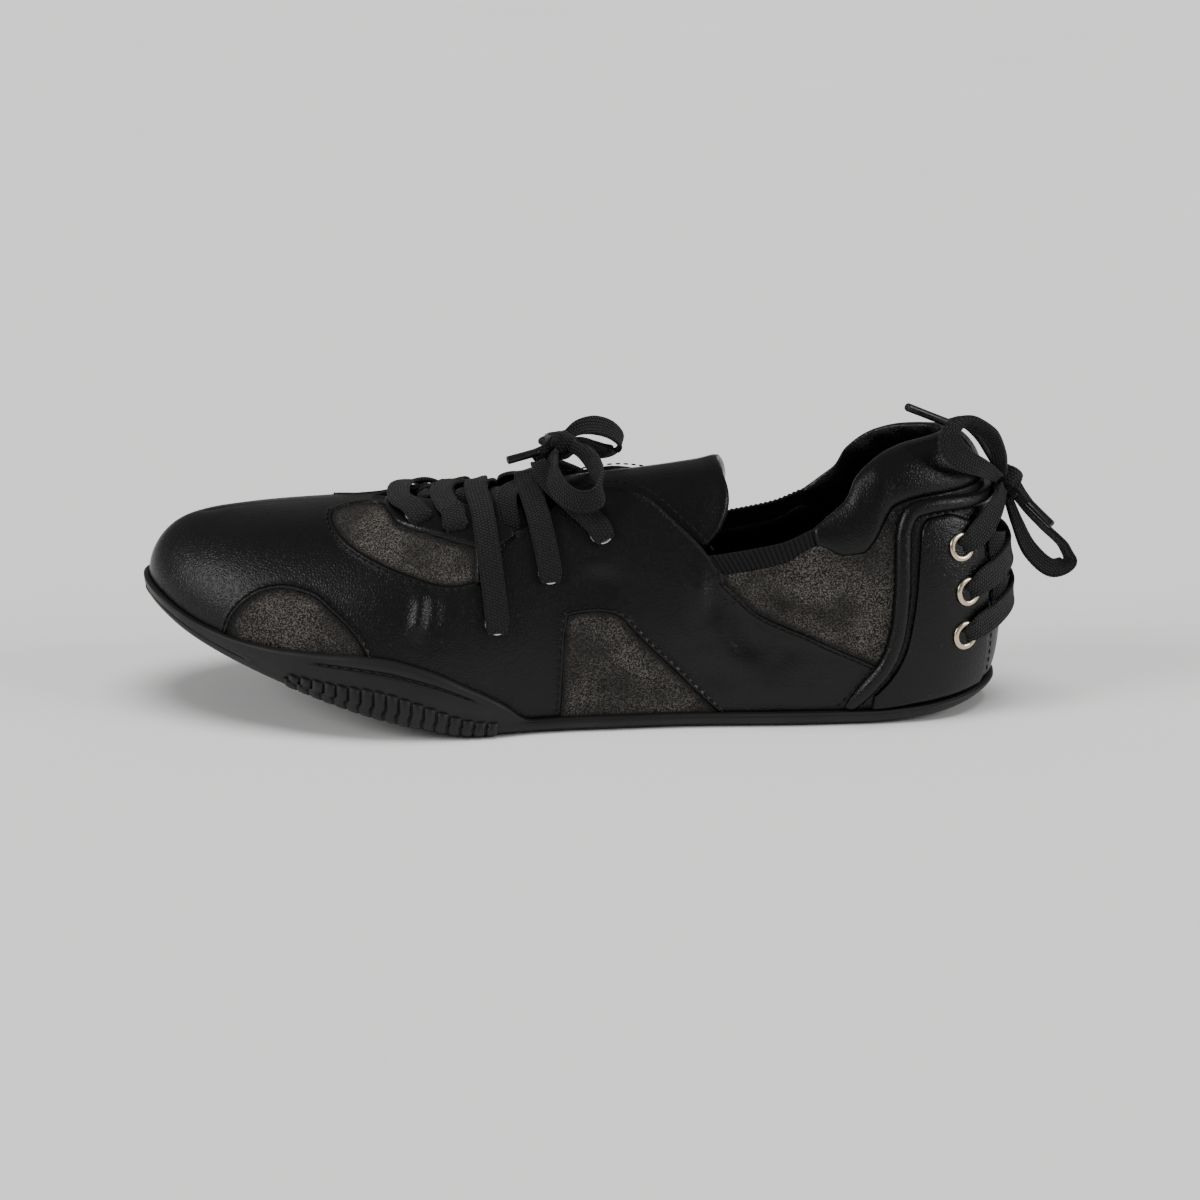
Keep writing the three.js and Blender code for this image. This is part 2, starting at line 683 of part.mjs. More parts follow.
// Padded collar: it stands on the edge of the upper and swells to both sides.
const half = between(0, PAD_END - 0.002);
const padTurns = [...half.slice(1).reverse(), ...half.map((u) => (u === 0 ? 0 : 2 - u))];
const padTop = (t) => Math.sin(Math.PI * t) ** 0.6;
add('collar_pad', slab((a, b) => {
  const u = padTurns[Math.round(a * (padTurns.length - 1))];
  const s = share(u);
  const low = moved(u, pick(TOPLINE, s, 'v'), GAP + 0.05);
  const high = pick(PAD_RIM, s, 'v');
  return [u, low + (high - low) * b];
}, (a, b) => {
  const fade = Math.min(1, 6 * Math.min(a, 1 - a) + 0.25);
  return fade * (2.2 * padTop(b) - (b > 0.9 ? 1.2 : 0));
}, (a, b) => {
  const fade = Math.min(1, 6 * Math.min(a, 1 - a) + 0.25);
  return -WALL - fade * 2.6 * padTop(b);
}, padTurns.length - 1, 6), 'leather');

const bandTurns = between(PAD_END + 0.002, ELASTIC_END - 0.003);
for (const side of ['outer', 'inner']) {
  const inner = side === 'inner';
  // Elastic band between collar and wing.
  add(`elastic_${side}`, slab((a, b) => {
    const lean = a === 1 ? ELASTIC_LEAN * b : 0;
    const s = share(bandTurns[Math.round(a * (bandTurns.length - 1))]) + lean;
    const u = turn(s, inner);
    const low = moved(u, pick(TOPLINE, Math.min(s, ELASTIC_END), 'v'), GAP + 0.05);
    const high = pick(ELASTIC_TOP, s, 'v');
    return [u, low + (high - low) * b];
  }, () => -0.1, () => -0.1 - WALL * 0.8, bandTurns.length - 1, 2), 'elastic');

  // Facing with the two front lace holes.
  const facingFrom = FACING_LOW[0].s;
  const facingTo = FACING_LOW[FACING_LOW.length - 1].s;
  const facing = slab((a, b) => {
    const s = facingFrom + (facingTo - facingFrom) * a;
    const u = turn(s, inner);
    const low = pick(FACING_LOW, s, 'v');
    const high = moved(u, topline(s), -0.4);
    return [u, low + (Math.max(high, low + 0.012) - low) * b];
  }, () => GAP + OVERLAY, () => GAP, 12, 3);
  add(`facing_${side}`, cut(facing, facingBores[side]), 'leather');

  // Heel counter.
  const counterFrom = COUNTER_TOP[0].s;
  const counterTo = COUNTER_TOP[COUNTER_TOP.length - 1].s;
  const counterTurns = between(counterFrom, counterTo);
  const counter = slab((a, b) => {
    const along = counterTurns[Math.round(a * (counterTurns.length - 1))];
    const s = share(along);
    const u = inner ? 2 - along : along;
    const low = levelAt(u, bumperHigh(s) + 1.1);
    const high = pick(COUNTER_TOP, s, 'v');
    return [u, low + (Math.max(high, low + 0.012) - low) * b];
  }, () => GAP + OVERLAY, () => GAP, counterTurns.length - 1, 8);
  add(`counter_${side}`, cut(counter, counterBores[side]), 'leather');
}

// Roll that frames the counters, from the sole up and round the back in one piece.
const rollPath = [
  ...ROLL.map(({ s, v }) => [turn(s, false), v]),
  ...ROLL.slice(0, -1).reverse().map(({ s, v }) => [-turn(s, false), v]),
];
const rollCurve = new THREE.CatmullRomCurve3(
  rollPath.map(([u, v]) => new THREE.Vector3(u, v, 0)), false, 'centripetal',
);
const ROLL_STEPS = 40;
const rollRings = [];
for (let i = 0; i <= ROLL_STEPS; i += 1) {
  const t = i / ROLL_STEPS;
  const at = rollCurve.getPoint(t);
  const place = (p) => lasted(p.x < 0 ? p.x + 2 : p.x, p.y, 0);
  const before = rollCurve.getPoint(Math.max(t - 0.004, 0));
  const after = rollCurve.getPoint(Math.min(t + 0.004, 1));
  const along = place(after).sub(place(before)).normalize();
  const up = outward(at.x < 0 ? at.x + 2 : at.x, at.y);
  const across = new THREE.Vector3().crossVectors(along, up).normalize();
  const centre = place(at);
  const half = ROLL_WIDE / 2;
  rollRings.push([
    [-half, GAP], [-half * 0.9, GAP + ROLL_HIGH * 0.55], [-half * 0.45, GAP + ROLL_HIGH * 0.92],
    [half * 0.1, GAP + ROLL_HIGH], [half * 0.6, GAP + ROLL_HIGH * 0.8],
    [half * 0.95, GAP + ROLL_HIGH * 0.35], [half, GAP],
  ].map(([x, z]) => centre.clone().addScaledVector(across, x).addScaledVector(up, z)));
}
add('heel_roll', capped(rollRings), 'leather');

// Eyelets: a flange on the leather and a barrel through it.
function eyelet(u, v, off, depth) {
  const flange = 0.9;
  return seated([
    [EYELET_BORE, -depth], [EYELET_BORE + 0.25, -depth], [EYELET_BORE + 0.25, 0],
    [EYELET_OUTER, 0], [EYELET_OUTER * 0.85, flange], [EYELET_BORE, flange * 0.8],
    [EYELET_BORE, -depth],
  ], 12, u, v, off);
}
for (const side of ['outer', 'inner']) {
  const inner = side === 'inner';
  THROAT_HOLES.forEach(({ s, v, on }, i) => {
    const off = (on === 'facing' ? GAP + OVERLAY : 0) + GAP;
    const ring = eyelet(turn(s, inner), v, off, WALL + off - GAP);
    add(`throat_eyelet_${side}_${i + 1}`, ring, 'steel');
  });
  HEEL_HOLES.forEach(({ s, v }, i) => {
    const off = GAP + OVERLAY + GAP;
    const ring = eyelet(turn(s, inner), v, off, WALL + OVERLAY + GAP);
    add(`heel_eyelet_${side}_${i + 1}`, ring, 'metal');
  });
}

// Lace on the shoe: a route of (s, v) with a height above the upper, laid flat on it. A negative
// turn is the inner side.
function strap(route) {
  const loop = (u) => (u < 0 ? u + 2 : u);
  const places = route.map(([u, v, off]) => lasted(loop(u), v, off));
  const curve = new THREE.CatmullRomCurve3(places, false, 'centripetal');
  const widths = route.map(([u, v], i) => {
    const along = curve.getTangent(i / (route.length - 1));
    return new THREE.Vector3().crossVectors(outward(loop(u), Math.min(v, 0.999)), along);
  });
  return ribbon(places, widths, []);
}
const mirrored = (route) => route.map(([u, v, off]) => [-u, v, off]);

// Throat lace: a bar at the front, then crossings that rise from one hole over the tongue to the edge
// of the throat on the other side. over is where a crossing meets the crest, to is where it dips.
const LIFT = GAP + 0.9 + 2 * GAP + LACE_THICK / 2; // middle of a lace over an eyelet
const CROSSINGS = [
  { hole: 1, over: 0.652, to: 0.676 },
  { hole: 2, over: 0.602, to: 0.616 },
  { hole: 3, over: 0.530, to: 0.562 },
];
const holeLift = (hole) => LIFT + (hole.on === 'facing' ? GAP + OVERLAY : 0);
function crossing({ hole, over, to }, high) {
  const from = THROAT_HOLES[hole];
  const u = turn(from.s, false);
  const uOver = turn(over, false);
  const lift = holeLift(from);
  const edge = topline(from.s);
  const rise = (k) => from.v + (edge - from.v) * k;
  const side = (k) => u + (uOver - u) * k;
  const lean = 0.6;
  const land = topline(to);
  return [
    [u, from.v, lift], [side(lean / 2), rise(0.5), Math.max(lift, 3)], [side(lean), rise(1), 3.2],
    [uOver, Math.max((edge + 1) / 2, 0.93), high],
    [-uOver, 0.95, high], [-turn(to, false), (1 + 2 * land) / 3, 1.6],
    [-turn(to, false), land + 0.06, 0.9],
  ];
}
function crossed(row) {
  const top = crossing(row, 3.4);
  const below = crossing(row, 2.2);
  return join([strap(top), strap(mirrored(below))]);
}
CROSSINGS.forEach((row, i) => add(`throat_cross_${i + 1}`, crossed(row), 'lace'));
const firstHole = THROAT_HOLES[0];
const bar = [
  [turn(firstHole.s, false), firstHole.v, holeLift(firstHole)],
  [turn(0.695, false), 0.86, 3.4],
  [turn(0.712, false), 0.95, 2.6],
];
add('throat_bar', strap([...bar, ...mirrored(bar).reverse()]), 'lace');

// Last pair of throat laces: from the rear holes up to the knot.
const lastHole = THROAT_HOLES[4];
const toKnot = [
  [turn(lastHole.s, false), lastHole.v, holeLift(lastHole)],
  [turn(0.459, false), 0.66, 3],
  [turn(0.468, false), 0.78, 3.2],
  [turn(0.474, false), 0.85, 4],
];
add('throat_lace_outer', strap(toKnot), 'lace');
add('throat_lace_inner', strap(mirrored(toKnot)), 'lace');

// Heel lace: two crossings over the back and a last pair up to the knot.
const HEEL_LIFT = LIFT + GAP + OVERLAY;
function heelCrossing(hole, above, high) {
  const from = HEEL_HOLES[hole];
  const to = HEEL_HOLES[above];
  const u = turn(from.s, false);
  const rise = (k) => from.v + (to.v - from.v) * k;
  return [
    [u, from.v, HEEL_LIFT], [u * 0.72, rise(0.2), HEEL_LIFT], [u * 0.3, rise(0.4), high],
    [0, rise(0.5), high], [-u * 0.3, rise(0.62), high], [-turn(0.022, false) * 0.72, rise(0.74), 1.2],
  ];
}
for (const [hole, above] of [[2, 1], [1, 0]]) {
  const pair = [strap(heelCrossing(hole, above, 3.2)), strap(mirrored(heelCrossing(hole, above, 2)))];
  add(`heel_cross_${hole}`, join(pair), 'lace');
}
const topHole = HEEL_HOLES[0];
const uTop = turn(topHole.s, false);
const toHeelKnot = [
  [uTop, topHole.v, HEEL_LIFT], [uTop * 0.75, topHole.v + 0.022, HEEL_LIFT],
  [uTop * 0.5, topHole.v + 0.05, 3.8], [uTop * 0.22, topHole.v + 0.085, 5.2],
];
// Knots, loops and ends of both bows. Routes are in millimetres from the knot.
const THROAT_KNOT = { x: HEEL_X - 134.4, y: CENTRE_Y - 1, z: 81.6, rx: 4.4, ry: 5, rz: 3.6 };
const HEEL_KNOT = { x: HEEL_X + 5.2, y: CENTRE_Y, z: 70, rx: 3.4, ry: 5, rz: 5.2 };
function ball(knot, grown) {
  const sphere = new THREE.SphereGeometry(1, 12, 8);
  sphere.scale(knot.rx + grown, knot.ry + grown, knot.rz + grown);
  sphere.translate(knot.x, knot.y, knot.z);
  return welded(sphere);
}
const heelEnds = [['outer', toHeelKnot], ['inner', mirrored(toHeelKnot)]];
for (const [side, route] of heelEnds) {
  add(`heel_lace_${side}`, cut(strap(route), [ball(HEEL_KNOT, GAP)]), 'lace');
}
add('throat_knot', ball(THROAT_KNOT, 0), 'lace');
add('heel_knot', ball(HEEL_KNOT, 0), 'lace');

// A loop or end of a bow: its rows are measured from the knot, plane is what its width leans towards.
function bowPiece(knot, rows, plane, twist, gather) {
  const places = rows.map(([x, y, z]) => new THREE.Vector3(knot.x + x, knot.y + y, knot.z + z));
  const curve = new THREE.CatmullRomCurve3(places, false, 'centripetal');
  const normal = new THREE.Vector3(...plane).normalize();
  const widths = rows.map((row, i) => {
    const along = curve.getTangent(i / (rows.length - 1));
    return normal.clone().applyAxisAngle(along, THREE.MathUtils.degToRad(twist));
  });
  return cut(ribbon(places, widths, gather), [ball(knot, GAP)]);
}
const BOWS = [
  {
    name: 'throat_loop_near', knot: THROAT_KNOT, plane: [-0.2, -0.45, 0.87], twist: 15,
    gather: ['start', 'end'],
    rows: [
      [-2, -3.6, -1], [-2.6, -11, -3.9], [-1.8, -19, -6.7], [1.2, -24.5, -9.6], [6.4, -28, -11.2],
      [11, -28, -9.9], [12.4, -24, -6.7], [10.4, -16.5, -2.9], [7, -8.6, -0.3], [2.4, -3, 0.8],
    ],
  },
  {
    name: 'throat_loop_far', knot: THROAT_KNOT, plane: [-0.67, 0.73, 0.13], twist: 0,
    gather: ['start', 'end'],
    rows: [
      [1.6, 2.4, 2.6], [5.4, 5.4, 4.4], [10.6, 9.2, 4.2], [16, 13.4, 1.4], [18.6, 16.4, -2.6],
      [17, 17.6, -5.4], [13, 16.4, -5.6], [9, 12.6, -3.6], [5.4, 7.6, -0.8], [2.4, 3.4, 0.4],
    ],
  },
  {
    name: 'throat_end_front', knot: THROAT_KNOT, plane: [0, 0.3, 1], twist: 0, gather: ['start', 'end'],
    rows: [[-3, -2, 0], [-5.2, -4, -0.6], [-7.4, -5.4, -1]],
  },
  {
    name: 'throat_end_near', knot: THROAT_KNOT, plane: [0, 0.3, 1], twist: 0, gather: ['start', 'end'],
    rows: [[-1.4, -3, 3], [-2.8, -6.4, 4], [-4, -10.4, 4.6]],
  },
  {
    name: 'heel_loop_upper', knot: HEEL_KNOT, plane: [0.25, 0.93, 0.25], twist: 35,
    gather: ['start', 'end'],
    rows: [
      [-2.4, -3, 3.4], [-4.6, -8, 11.2], [-9, -13, 18.6], [-15.6, -18, 22.6], [-20, -21, 21],
      [-21.2, -22, 16.8], [-17.6, -21.6, 12.2], [-10.6, -17, 8.1], [-4.2, -7, 2.8],
    ],
  },
  {
    name: 'heel_loop_lower', knot: HEEL_KNOT, plane: [0.1, 0.97, 0.2], twist: 35,
    gather: ['start', 'end'],
    rows: [
      [-0.4, -2.4, -4.4], [2.4, -5, -12], [6.6, -8, -20.4], [13.4, -9, -25.8], [18.8, -7.4, -24],
      [17.6, -5, -19.8], [11.8, -3, -14.2], [6.6, -1.4, -9.2], [2.6, -0.6, -4.6],
    ],
  },
  {
    name: 'heel_end_upper', knot: HEEL_KNOT, plane: [0.3, 0.9, 0.2], twist: 0,
    gather: ['start', 'end'],
    rows: [[-2.6, 3, 3.6], [-6, 2.4, 9.5], [-10, 0, 15.4], [-15.5, -4, 19.8], [-20, -7, 20]],
  },
  {
    name: 'heel_end_lower', knot: HEEL_KNOT, plane: [0.3, 0.9, 0.3], twist: 0,
    gather: ['start', 'end'],
    rows: [[2, -3, -0.6], [3.6, -5.4, -2.6], [5.4, -7.6, -4.9]],
  },
];
for (const { name, knot, rows, plane, twist, gather } of BOWS) {
  add(name, bowPiece(knot, rows, plane, twist, gather), 'lace');
}

// Tips: a straight round sleeve beyond the end of its lace.
const TIP_RADIUS = 1.4;
const TIPS = [
  { name: 'throat_tip_front', knot: THROAT_KNOT, from: [-7.8, -5.6, -1.05], to: [-18.4, -9, -3.2] },
  { name: 'throat_tip_near', knot: THROAT_KNOT, from: [-4.1, -10.9, 4.65], to: [-5.6, -21, 6] },
  { name: 'heel_tip_upper', knot: HEEL_KNOT, from: [-20.6, -7.4, 20.1], to: [-34, -14, 26.6] },
  { name: 'heel_tip_lower', knot: HEEL_KNOT, from: [5.8, -7.9, -5.3], to: [12.2, -13, -11] },
];
for (const { name, knot, from, to } of TIPS) {
  const start = new THREE.Vector3(knot.x, knot.y, knot.z).add(new THREE.Vector3(...from));
  const end = new THREE.Vector3(knot.x, knot.y, knot.z).add(new THREE.Vector3(...to));
  const section = new THREE.Shape().absarc(0, 0, TIP_RADIUS, 0, 2 * Math.PI);
  const long = start.distanceTo(end);
  const rod = welded(new THREE.ExtrudeGeometry(section, {
    depth: long, bevelEnabled: false, curveSegments: 8, steps: 1,
  }));
  const turned = new THREE.Quaternion()
    .setFromUnitVectors(new THREE.Vector3(0, 0, 1), end.clone().sub(start).normalize());
  rod.applyMatrix4(new THREE.Matrix4().compose(start, turned, new THREE.Vector3(1, 1, 1)));
  add(name, rod, 'tip');
}

export default shoe;
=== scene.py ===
# %% [markdown]
# # A soft leather lace-up shoe
# This lesson dresses one low shoe for the left foot. It is laced over the instep and again round the
# heel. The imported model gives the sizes. Every piece here is in metres, lies in the same frame and
# stands for the solids it covers: toe towards -X, outer side towards -Y, floor at z = 0.

# %% Start
import math
import bpy
import bmesh
import numpy as np
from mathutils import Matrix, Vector


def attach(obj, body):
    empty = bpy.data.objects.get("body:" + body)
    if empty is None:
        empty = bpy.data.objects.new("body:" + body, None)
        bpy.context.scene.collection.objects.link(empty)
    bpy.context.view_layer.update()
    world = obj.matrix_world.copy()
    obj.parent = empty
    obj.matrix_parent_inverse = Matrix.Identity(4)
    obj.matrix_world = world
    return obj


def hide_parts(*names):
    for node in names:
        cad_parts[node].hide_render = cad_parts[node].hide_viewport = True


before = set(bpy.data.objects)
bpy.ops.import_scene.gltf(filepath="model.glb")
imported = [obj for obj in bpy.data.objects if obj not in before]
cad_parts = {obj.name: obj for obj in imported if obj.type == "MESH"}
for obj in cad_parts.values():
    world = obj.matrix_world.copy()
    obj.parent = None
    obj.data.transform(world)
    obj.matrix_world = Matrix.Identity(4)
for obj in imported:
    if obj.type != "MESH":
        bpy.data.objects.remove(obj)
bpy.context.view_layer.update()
MM = 0.001
print("nodes in the frame:", len(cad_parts))

# %% [markdown]
# ## The camera
# The photograph was taken from the outer side, a little above the shoe, with a long lens. The camera
# looks at the middle of the shoe from 16 degrees up, and its lens gives 2845 pixels of focal length
# on a picture 1200 pixels wide.

# %% Camera
AIM = Vector((6.85, 1.05, 31.2)) * MM
RISE = math.radians(16)
AWAY = 0.9
PICTURE = 1200
FOCAL = 2845
camera_data = bpy.data.cameras.new("camera")
camera = bpy.data.objects.new("camera", camera_data)
bpy.context.collection.objects.link(camera)
camera.location = AIM + Vector((0, -math.cos(RISE), math.sin(RISE))) * AWAY
camera.rotation_euler = (AIM - camera.location).to_track_quat("-Z", "Y").to_euler()
camera_data.sensor_width = 36
camera_data.lens = FOCAL / PICTURE * camera_data.sensor_width
bpy.context.scene.camera = camera
print("lens in mm:", round(camera_data.lens, 1))

# %% [markdown]
# ## The last
# A shoemaker pulls the upper over a last. Here the last is a function: a place on it is (u, v), where
# u runs once round the foot (0 heel, 1 toe, 2 heel again) and v climbs from the lasted edge (0) to
# the crest (1). All pieces read the same function, so they follow each other everywhere. The tables
# have a row for each section, in shares of three named sizes.

# %% Sizes and tables of the last, in millimetres
LENGTH = 263.5
BALL_HALF = 42.5
CREST_HEIGHT = 91.5
HEEL_X = 129.25
CENTRE_Y = 1.05
SOLE_THICK = 4
WALL = 1.8
CREST_BACK = 0.13
CREST_FRONT = 0.93
HEEL_ROUND = 0.12
TOE_ROUND = 0.70
TOE_POWER = 2.2


def table(names, rows):
    """Rows of numbers as named columns."""
    return {name: np.array(column, float) for name, column in zip(names.split(), zip(*rows))}


LAST = table("s mid half foot square bulge", [
    (0.00, 0.000, 0.640, 0.1000, 2.80, 0.106),
    (0.05, 0.000, 0.650, 0.0700, 2.80, 0.100),
    (0.10, 0.000, 0.660, 0.0520, 2.80, 0.090),
    (0.15, -0.010, 0.690, 0.0437, 2.75, 0.078),
    (0.25, -0.035, 0.712, 0.0437, 2.60, 0.060),
    (0.36, -0.070, 0.697, 0.0437, 2.45, 0.048),
    (0.48, -0.112, 0.735, 0.0437, 2.32, 0.050),
    (0.60, -0.115, 0.870, 0.0437, 2.20, 0.066),
    (0.68, -0.070, 0.965, 0.0810, 2.20, 0.075),
    (0.75, -0.010, 1.005, 0.1340, 2.15, 0.075),
    (0.82, 0.035, 1.000, 0.1980, 2.10, 0.070),
    (0.90, 0.070, 0.990, 0.2780, 2.05, 0.061),
    (0.95, 0.085, 0.970, 0.3340, 2.00, 0.052),
    (1.00, 0.115, 0.960, 0.4040, 2.00, 0.047),
])
CREST = table("s top", [
    (0.13, 1.000), (0.20, 0.973), (0.30, 0.902), (0.40, 0.858), (0.50, 0.820), (0.60, 0.770),
    (0.68, 0.732), (0.76, 0.705), (0.85, 0.683), (0.90, 0.667), (0.93, 0.650),
])
TOPLINE = table("s v", [
    (0.000, 0.486), (0.080, 0.492), (0.110, 0.482), (0.126, 0.450), (0.142, 0.408), (0.158, 0.384),
    (0.178, 0.386), (0.207, 0.420), (0.249, 0.386), (0.318, 0.372), (0.339, 0.455), (0.363, 0.545),
    (0.393, 0.672), (0.433, 0.742), (0.470, 0.735), (0.515, 0.650), (0.554, 0.600), (0.585, 0.705),
    (0.631, 0.815), (0.680, 0.885), (0.720, 0.940), (0.755, 1.000),
])

# %% Reading the tables


def pick(rows, s, column):
    """Smooth value of a column at s, without overshoot between rows."""
    x, y = rows["s"], rows[column]
    s = np.asarray(s, float)
    i = np.clip(np.searchsorted(x, s, side="left") - 1, 0, len(x) - 2)
    slope = np.diff(y) / np.diff(x)
    before, after = slope[:-1], slope[1:]
    both = before * after
    middle = np.where(both > 0, 2 * both / np.where(both > 0, before + after, 1), 0)
    tangent = np.concatenate([[slope[0]], middle, [slope[-1]]])
    wide = x[i + 1] - x[i]
    t = np.clip((s - x[i]) / wide, 0, 1)
    return ((2 * t**3 - 3 * t**2 + 1) * y[i] + (t**3 - 2 * t**2 + t) * wide * tangent[i]
            + (3 * t**2 - 2 * t**3) * y[i + 1] + (t**3 - t**2) * wide * tangent[i + 1])


def share(u):
    """Share of the length, from heel to toe, of a place round the loop."""
    return (1 - np.cos(np.pi * np.asarray(u, float))) / 2


def turn(s, inner=False):
    """Place round the loop of a share of the length, on one of the two sides."""
    u = np.arccos(np.clip(1 - 2 * np.asarray(s, float), -1, 1)) / np.pi
    return 2 - u if inner else u


def half_width(s):
    """Half the width in plan. The heel and the toe are rounded by their own curves."""
    heel = np.sqrt(np.clip(1 - (np.clip(HEEL_ROUND - s, 0, None) / HEEL_ROUND) ** 2, 0, 1))
    past = np.clip(s - TOE_ROUND, 0, None) / (1 - TOE_ROUND)
    toe = np.sqrt(np.clip(1 - past ** TOE_POWER, 0, 1))
    return BALL_HALF * pick(LAST, s, "half") * heel * toe


def foot_height(x):
    """Height of the lasted edge. It rises at the toe, which is the toe spring."""
    return CREST_HEIGHT * pick(LAST, (HEEL_X - x) / LENGTH, "foot")


print("widest half of the sole in mm:", round(float(np.max(half_width(np.linspace(0, 1, 200)))), 1))

# %% [markdown]
# The lasted edge and the crest are two curves. A section between them is a superellipse with a soft
# swell, and the outward direction comes from two short steps on the surface.

# %% The surface of the last


def feather(u):
    """Lasted edge, where upper and sole meet."""
    u = np.asarray(u, float)
    s = share(u)
    side = np.where(np.sin(np.pi * u) >= 0, -1, 1)
    x = HEEL_X - LENGTH * s
    y = CENTRE_Y + BALL_HALF * pick(LAST, s, "mid") + side * half_width(s)
    return np.stack([x, y, foot_height(x)], -1)


def crest(s):
    """Ridge of the last. It starts ahead of the heel and ends behind the toe."""
    along = CREST_BACK + (CREST_FRONT - CREST_BACK) * np.asarray(s, float)
    y = CENTRE_Y + BALL_HALF * pick(LAST, along, "mid")
    return np.stack([HEEL_X - LENGTH * along, y, CREST_HEIGHT * pick(CREST, along, "top")], -1)


def surface(u, v):
    """Point of the last: u round the loop, v from the lasted edge up to the crest."""
    u, v = np.broadcast_arrays(np.asarray(u, float), np.clip(v, 0, 1))
    s = share(u)
    low, high = feather(u), crest(s)
    n = pick(LAST, s, "square")
    angle = v * np.pi / 2
    corner = (np.cos(angle) ** n + np.sin(angle) ** n) ** (1 / n)
    out = np.where(v >= 1, 0, np.cos(angle) / corner)
    reach = np.hypot(low[..., 0] - high[..., 0], low[..., 1] - high[..., 1])
    k = out + BALL_HALF * pick(LAST, s, "bulge") * np.sin(np.pi * np.sqrt(v)) / reach
    up = np.sin(angle) / corner
    return np.stack([
        high[..., 0] + (low[..., 0] - high[..., 0]) * k,
        high[..., 1] + (low[..., 1] - high[..., 1]) * k,
        low[..., 2] + (high[..., 2] - low[..., 2]) * up,
    ], -1)


def unit(a):
    """Vectors of length one."""
    return a / np.maximum(np.linalg.norm(a, axis=-1, keepdims=True), 1e-9)


def outward(u, v):
    """Outward direction of the last at a place."""
    step = 0.004
    u, v = np.broadcast_arrays(np.asarray(u, float), np.asarray(v, float))
    w = np.clip(v, 0.02, 0.985)
    across = surface(u + step, w) - surface(u - step, w)
    rise = surface(u, w + step) - surface(u, w - step)
    face = unit(np.cross(rise, across))
    s = share(u)
    along = unit(crest(np.minimum(s + step, 1)) - crest(np.maximum(s - step, 0)))
    top = unit(np.array([0, 0, 1.0]) - along * along[..., 2:])
    return np.where((v > 0.999)[..., None], top, face)


def lasted(u, v, off=0.0):
    """Point at a distance off from the last, outside where off is positive."""
    return surface(u, v) + outward(u, v) * np.asarray(off, float)[..., None]


def level_at(u, high):
    """Share v where the section stands a height above the lasted edge."""
    s = share(u)
    g = high / (crest(s)[..., 2] - feather(u)[..., 2])
    n = pick(LAST, s, "square")
    return (2 / np.pi) * np.arctan((1 / g**n - 1) ** (-1 / n))


def moved(u, v, distance):
    """Share v after a move up the section by a distance."""
    step = 0.005
    long = np.linalg.norm(surface(u, v + step) - surface(u, v - step), axis=-1)
    return v + distance * 2 * step / long


def floor_at(u, inset, high):
    """Point of the sheet under the foot, inset from the lasted edge."""
    low, mid = feather(u), crest(share(u))
    inward = (mid - low)[..., :2]
    reach = np.linalg.norm(inward, axis=-1)
    xy = low[..., :2] + inward * np.minimum(inset / reach, 1)[..., None]
    return np.concatenate([xy, (foot_height(xy[..., 0]) + high)[..., None]], -1)


def to_middle(u):
    """Distance in plan from the lasted edge to the crest."""
    return np.linalg.norm((crest(share(u)) - feather(u))[..., :2], axis=-1)


print("toe of the last in mm:", np.round(feather(1.0), 1))

# %% [markdown]
# ## Helpers for meshes
# Most pieces are rows of rings: a section repeated along a path. The helper joins the rings, closes
# the ends and turns the faces outwards. A slab is a sheet on the last with a thickness and rounded
# edges.

# %% Rings and slabs


def make_piece(name, points, faces, looks):
    """Mesh object from points in millimetres, closed and turned outwards."""
    mesh = bpy.data.meshes.new(name)
    mesh.from_pydata((np.asarray(points, float) * MM).tolist(), [], faces)
    for look in looks:
        mesh.materials.append(look)
    obj = bpy.data.objects.new(name, mesh)
    bpy.context.collection.objects.link(obj)
    work = bmesh.new()
    work.from_mesh(mesh)
    bmesh.ops.remove_doubles(work, verts=work.verts, dist=2e-6)
    if work.calc_volume(signed=True) < 0:
        bmesh.ops.reverse_faces(work, faces=work.faces)
    work.to_mesh(mesh)
    work.free()
    mesh.shade_smooth()
    return obj


def ring_faces(count, size, path_closed, section_closed, start=0):
    rows = np.arange(count if path_closed else count - 1)
    cols = np.arange(size if section_closed else size - 1)
    i, j = [a.ravel() for a in np.meshgrid(rows, cols, indexing="ij")]
    i2, j2 = (i + 1) % count, (j + 1) % size
    quads = np.stack([i * size + j, i * size + j2, i2 * size + j2, i2 * size + j], -1) + start
    return quads.tolist()


def closed_rings(rings):
    """Points and faces of a solid through rings, each end closed by a fan about its middle."""
    count, size = rings.shape[:2]
    points = np.concatenate([rings.reshape(-1, 3), rings[0].mean(0)[None], rings[-1].mean(0)[None]])
    faces = ring_faces(count, size, False, True)
    first, last = count * size, count * size + 1
    base = (count - 1) * size
    for j in range(size):
        k = (j + 1) % size
        faces.append([first, k, j])
        faces.append([last, base + j, base + k])
    return points, faces


def dress(obj, nodes):
    """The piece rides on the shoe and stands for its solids."""
    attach(obj, "root")
    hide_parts(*nodes)
    print(obj.name, len(obj.data.polygons), "faces")
    return obj


def on_last(place, over, under, na, nb, soft=0.5):
    """Rings of a slab: place(a, b) gives (u, v), and over and under give its two offsets."""
    a = np.linspace(0, 1, na + 1)
    b = np.linspace(0, 1, nb + 1)
    aa, bb = np.meshgrid(a, b, indexing="ij")
    u, v = place(aa, bb)
    high, low = over(aa, bb), under(aa, bb)
    ends = np.minimum(np.minimum(aa, 1 - aa) * na, np.minimum(bb, 1 - bb) * nb)
    trim = soft * np.clip(1 - ends / 2, 0, 1) ** 2
    top = lasted(u, v, high - trim)
    bottom = lasted(u, v, low + 0 * aa)
    return np.concatenate([top, bottom[:, ::-1]], 1)


print("helpers ready")

# %% [markdown]
# ## Finishes
# The shoe has few colours but many surfaces: fine-grained nappa, speckled suede, satin rubber, woven
# cotton, ribbed elastic and two metals. Effects that several finishes share are node groups that put
# out heights and tones. The Principled shader stays in each material.

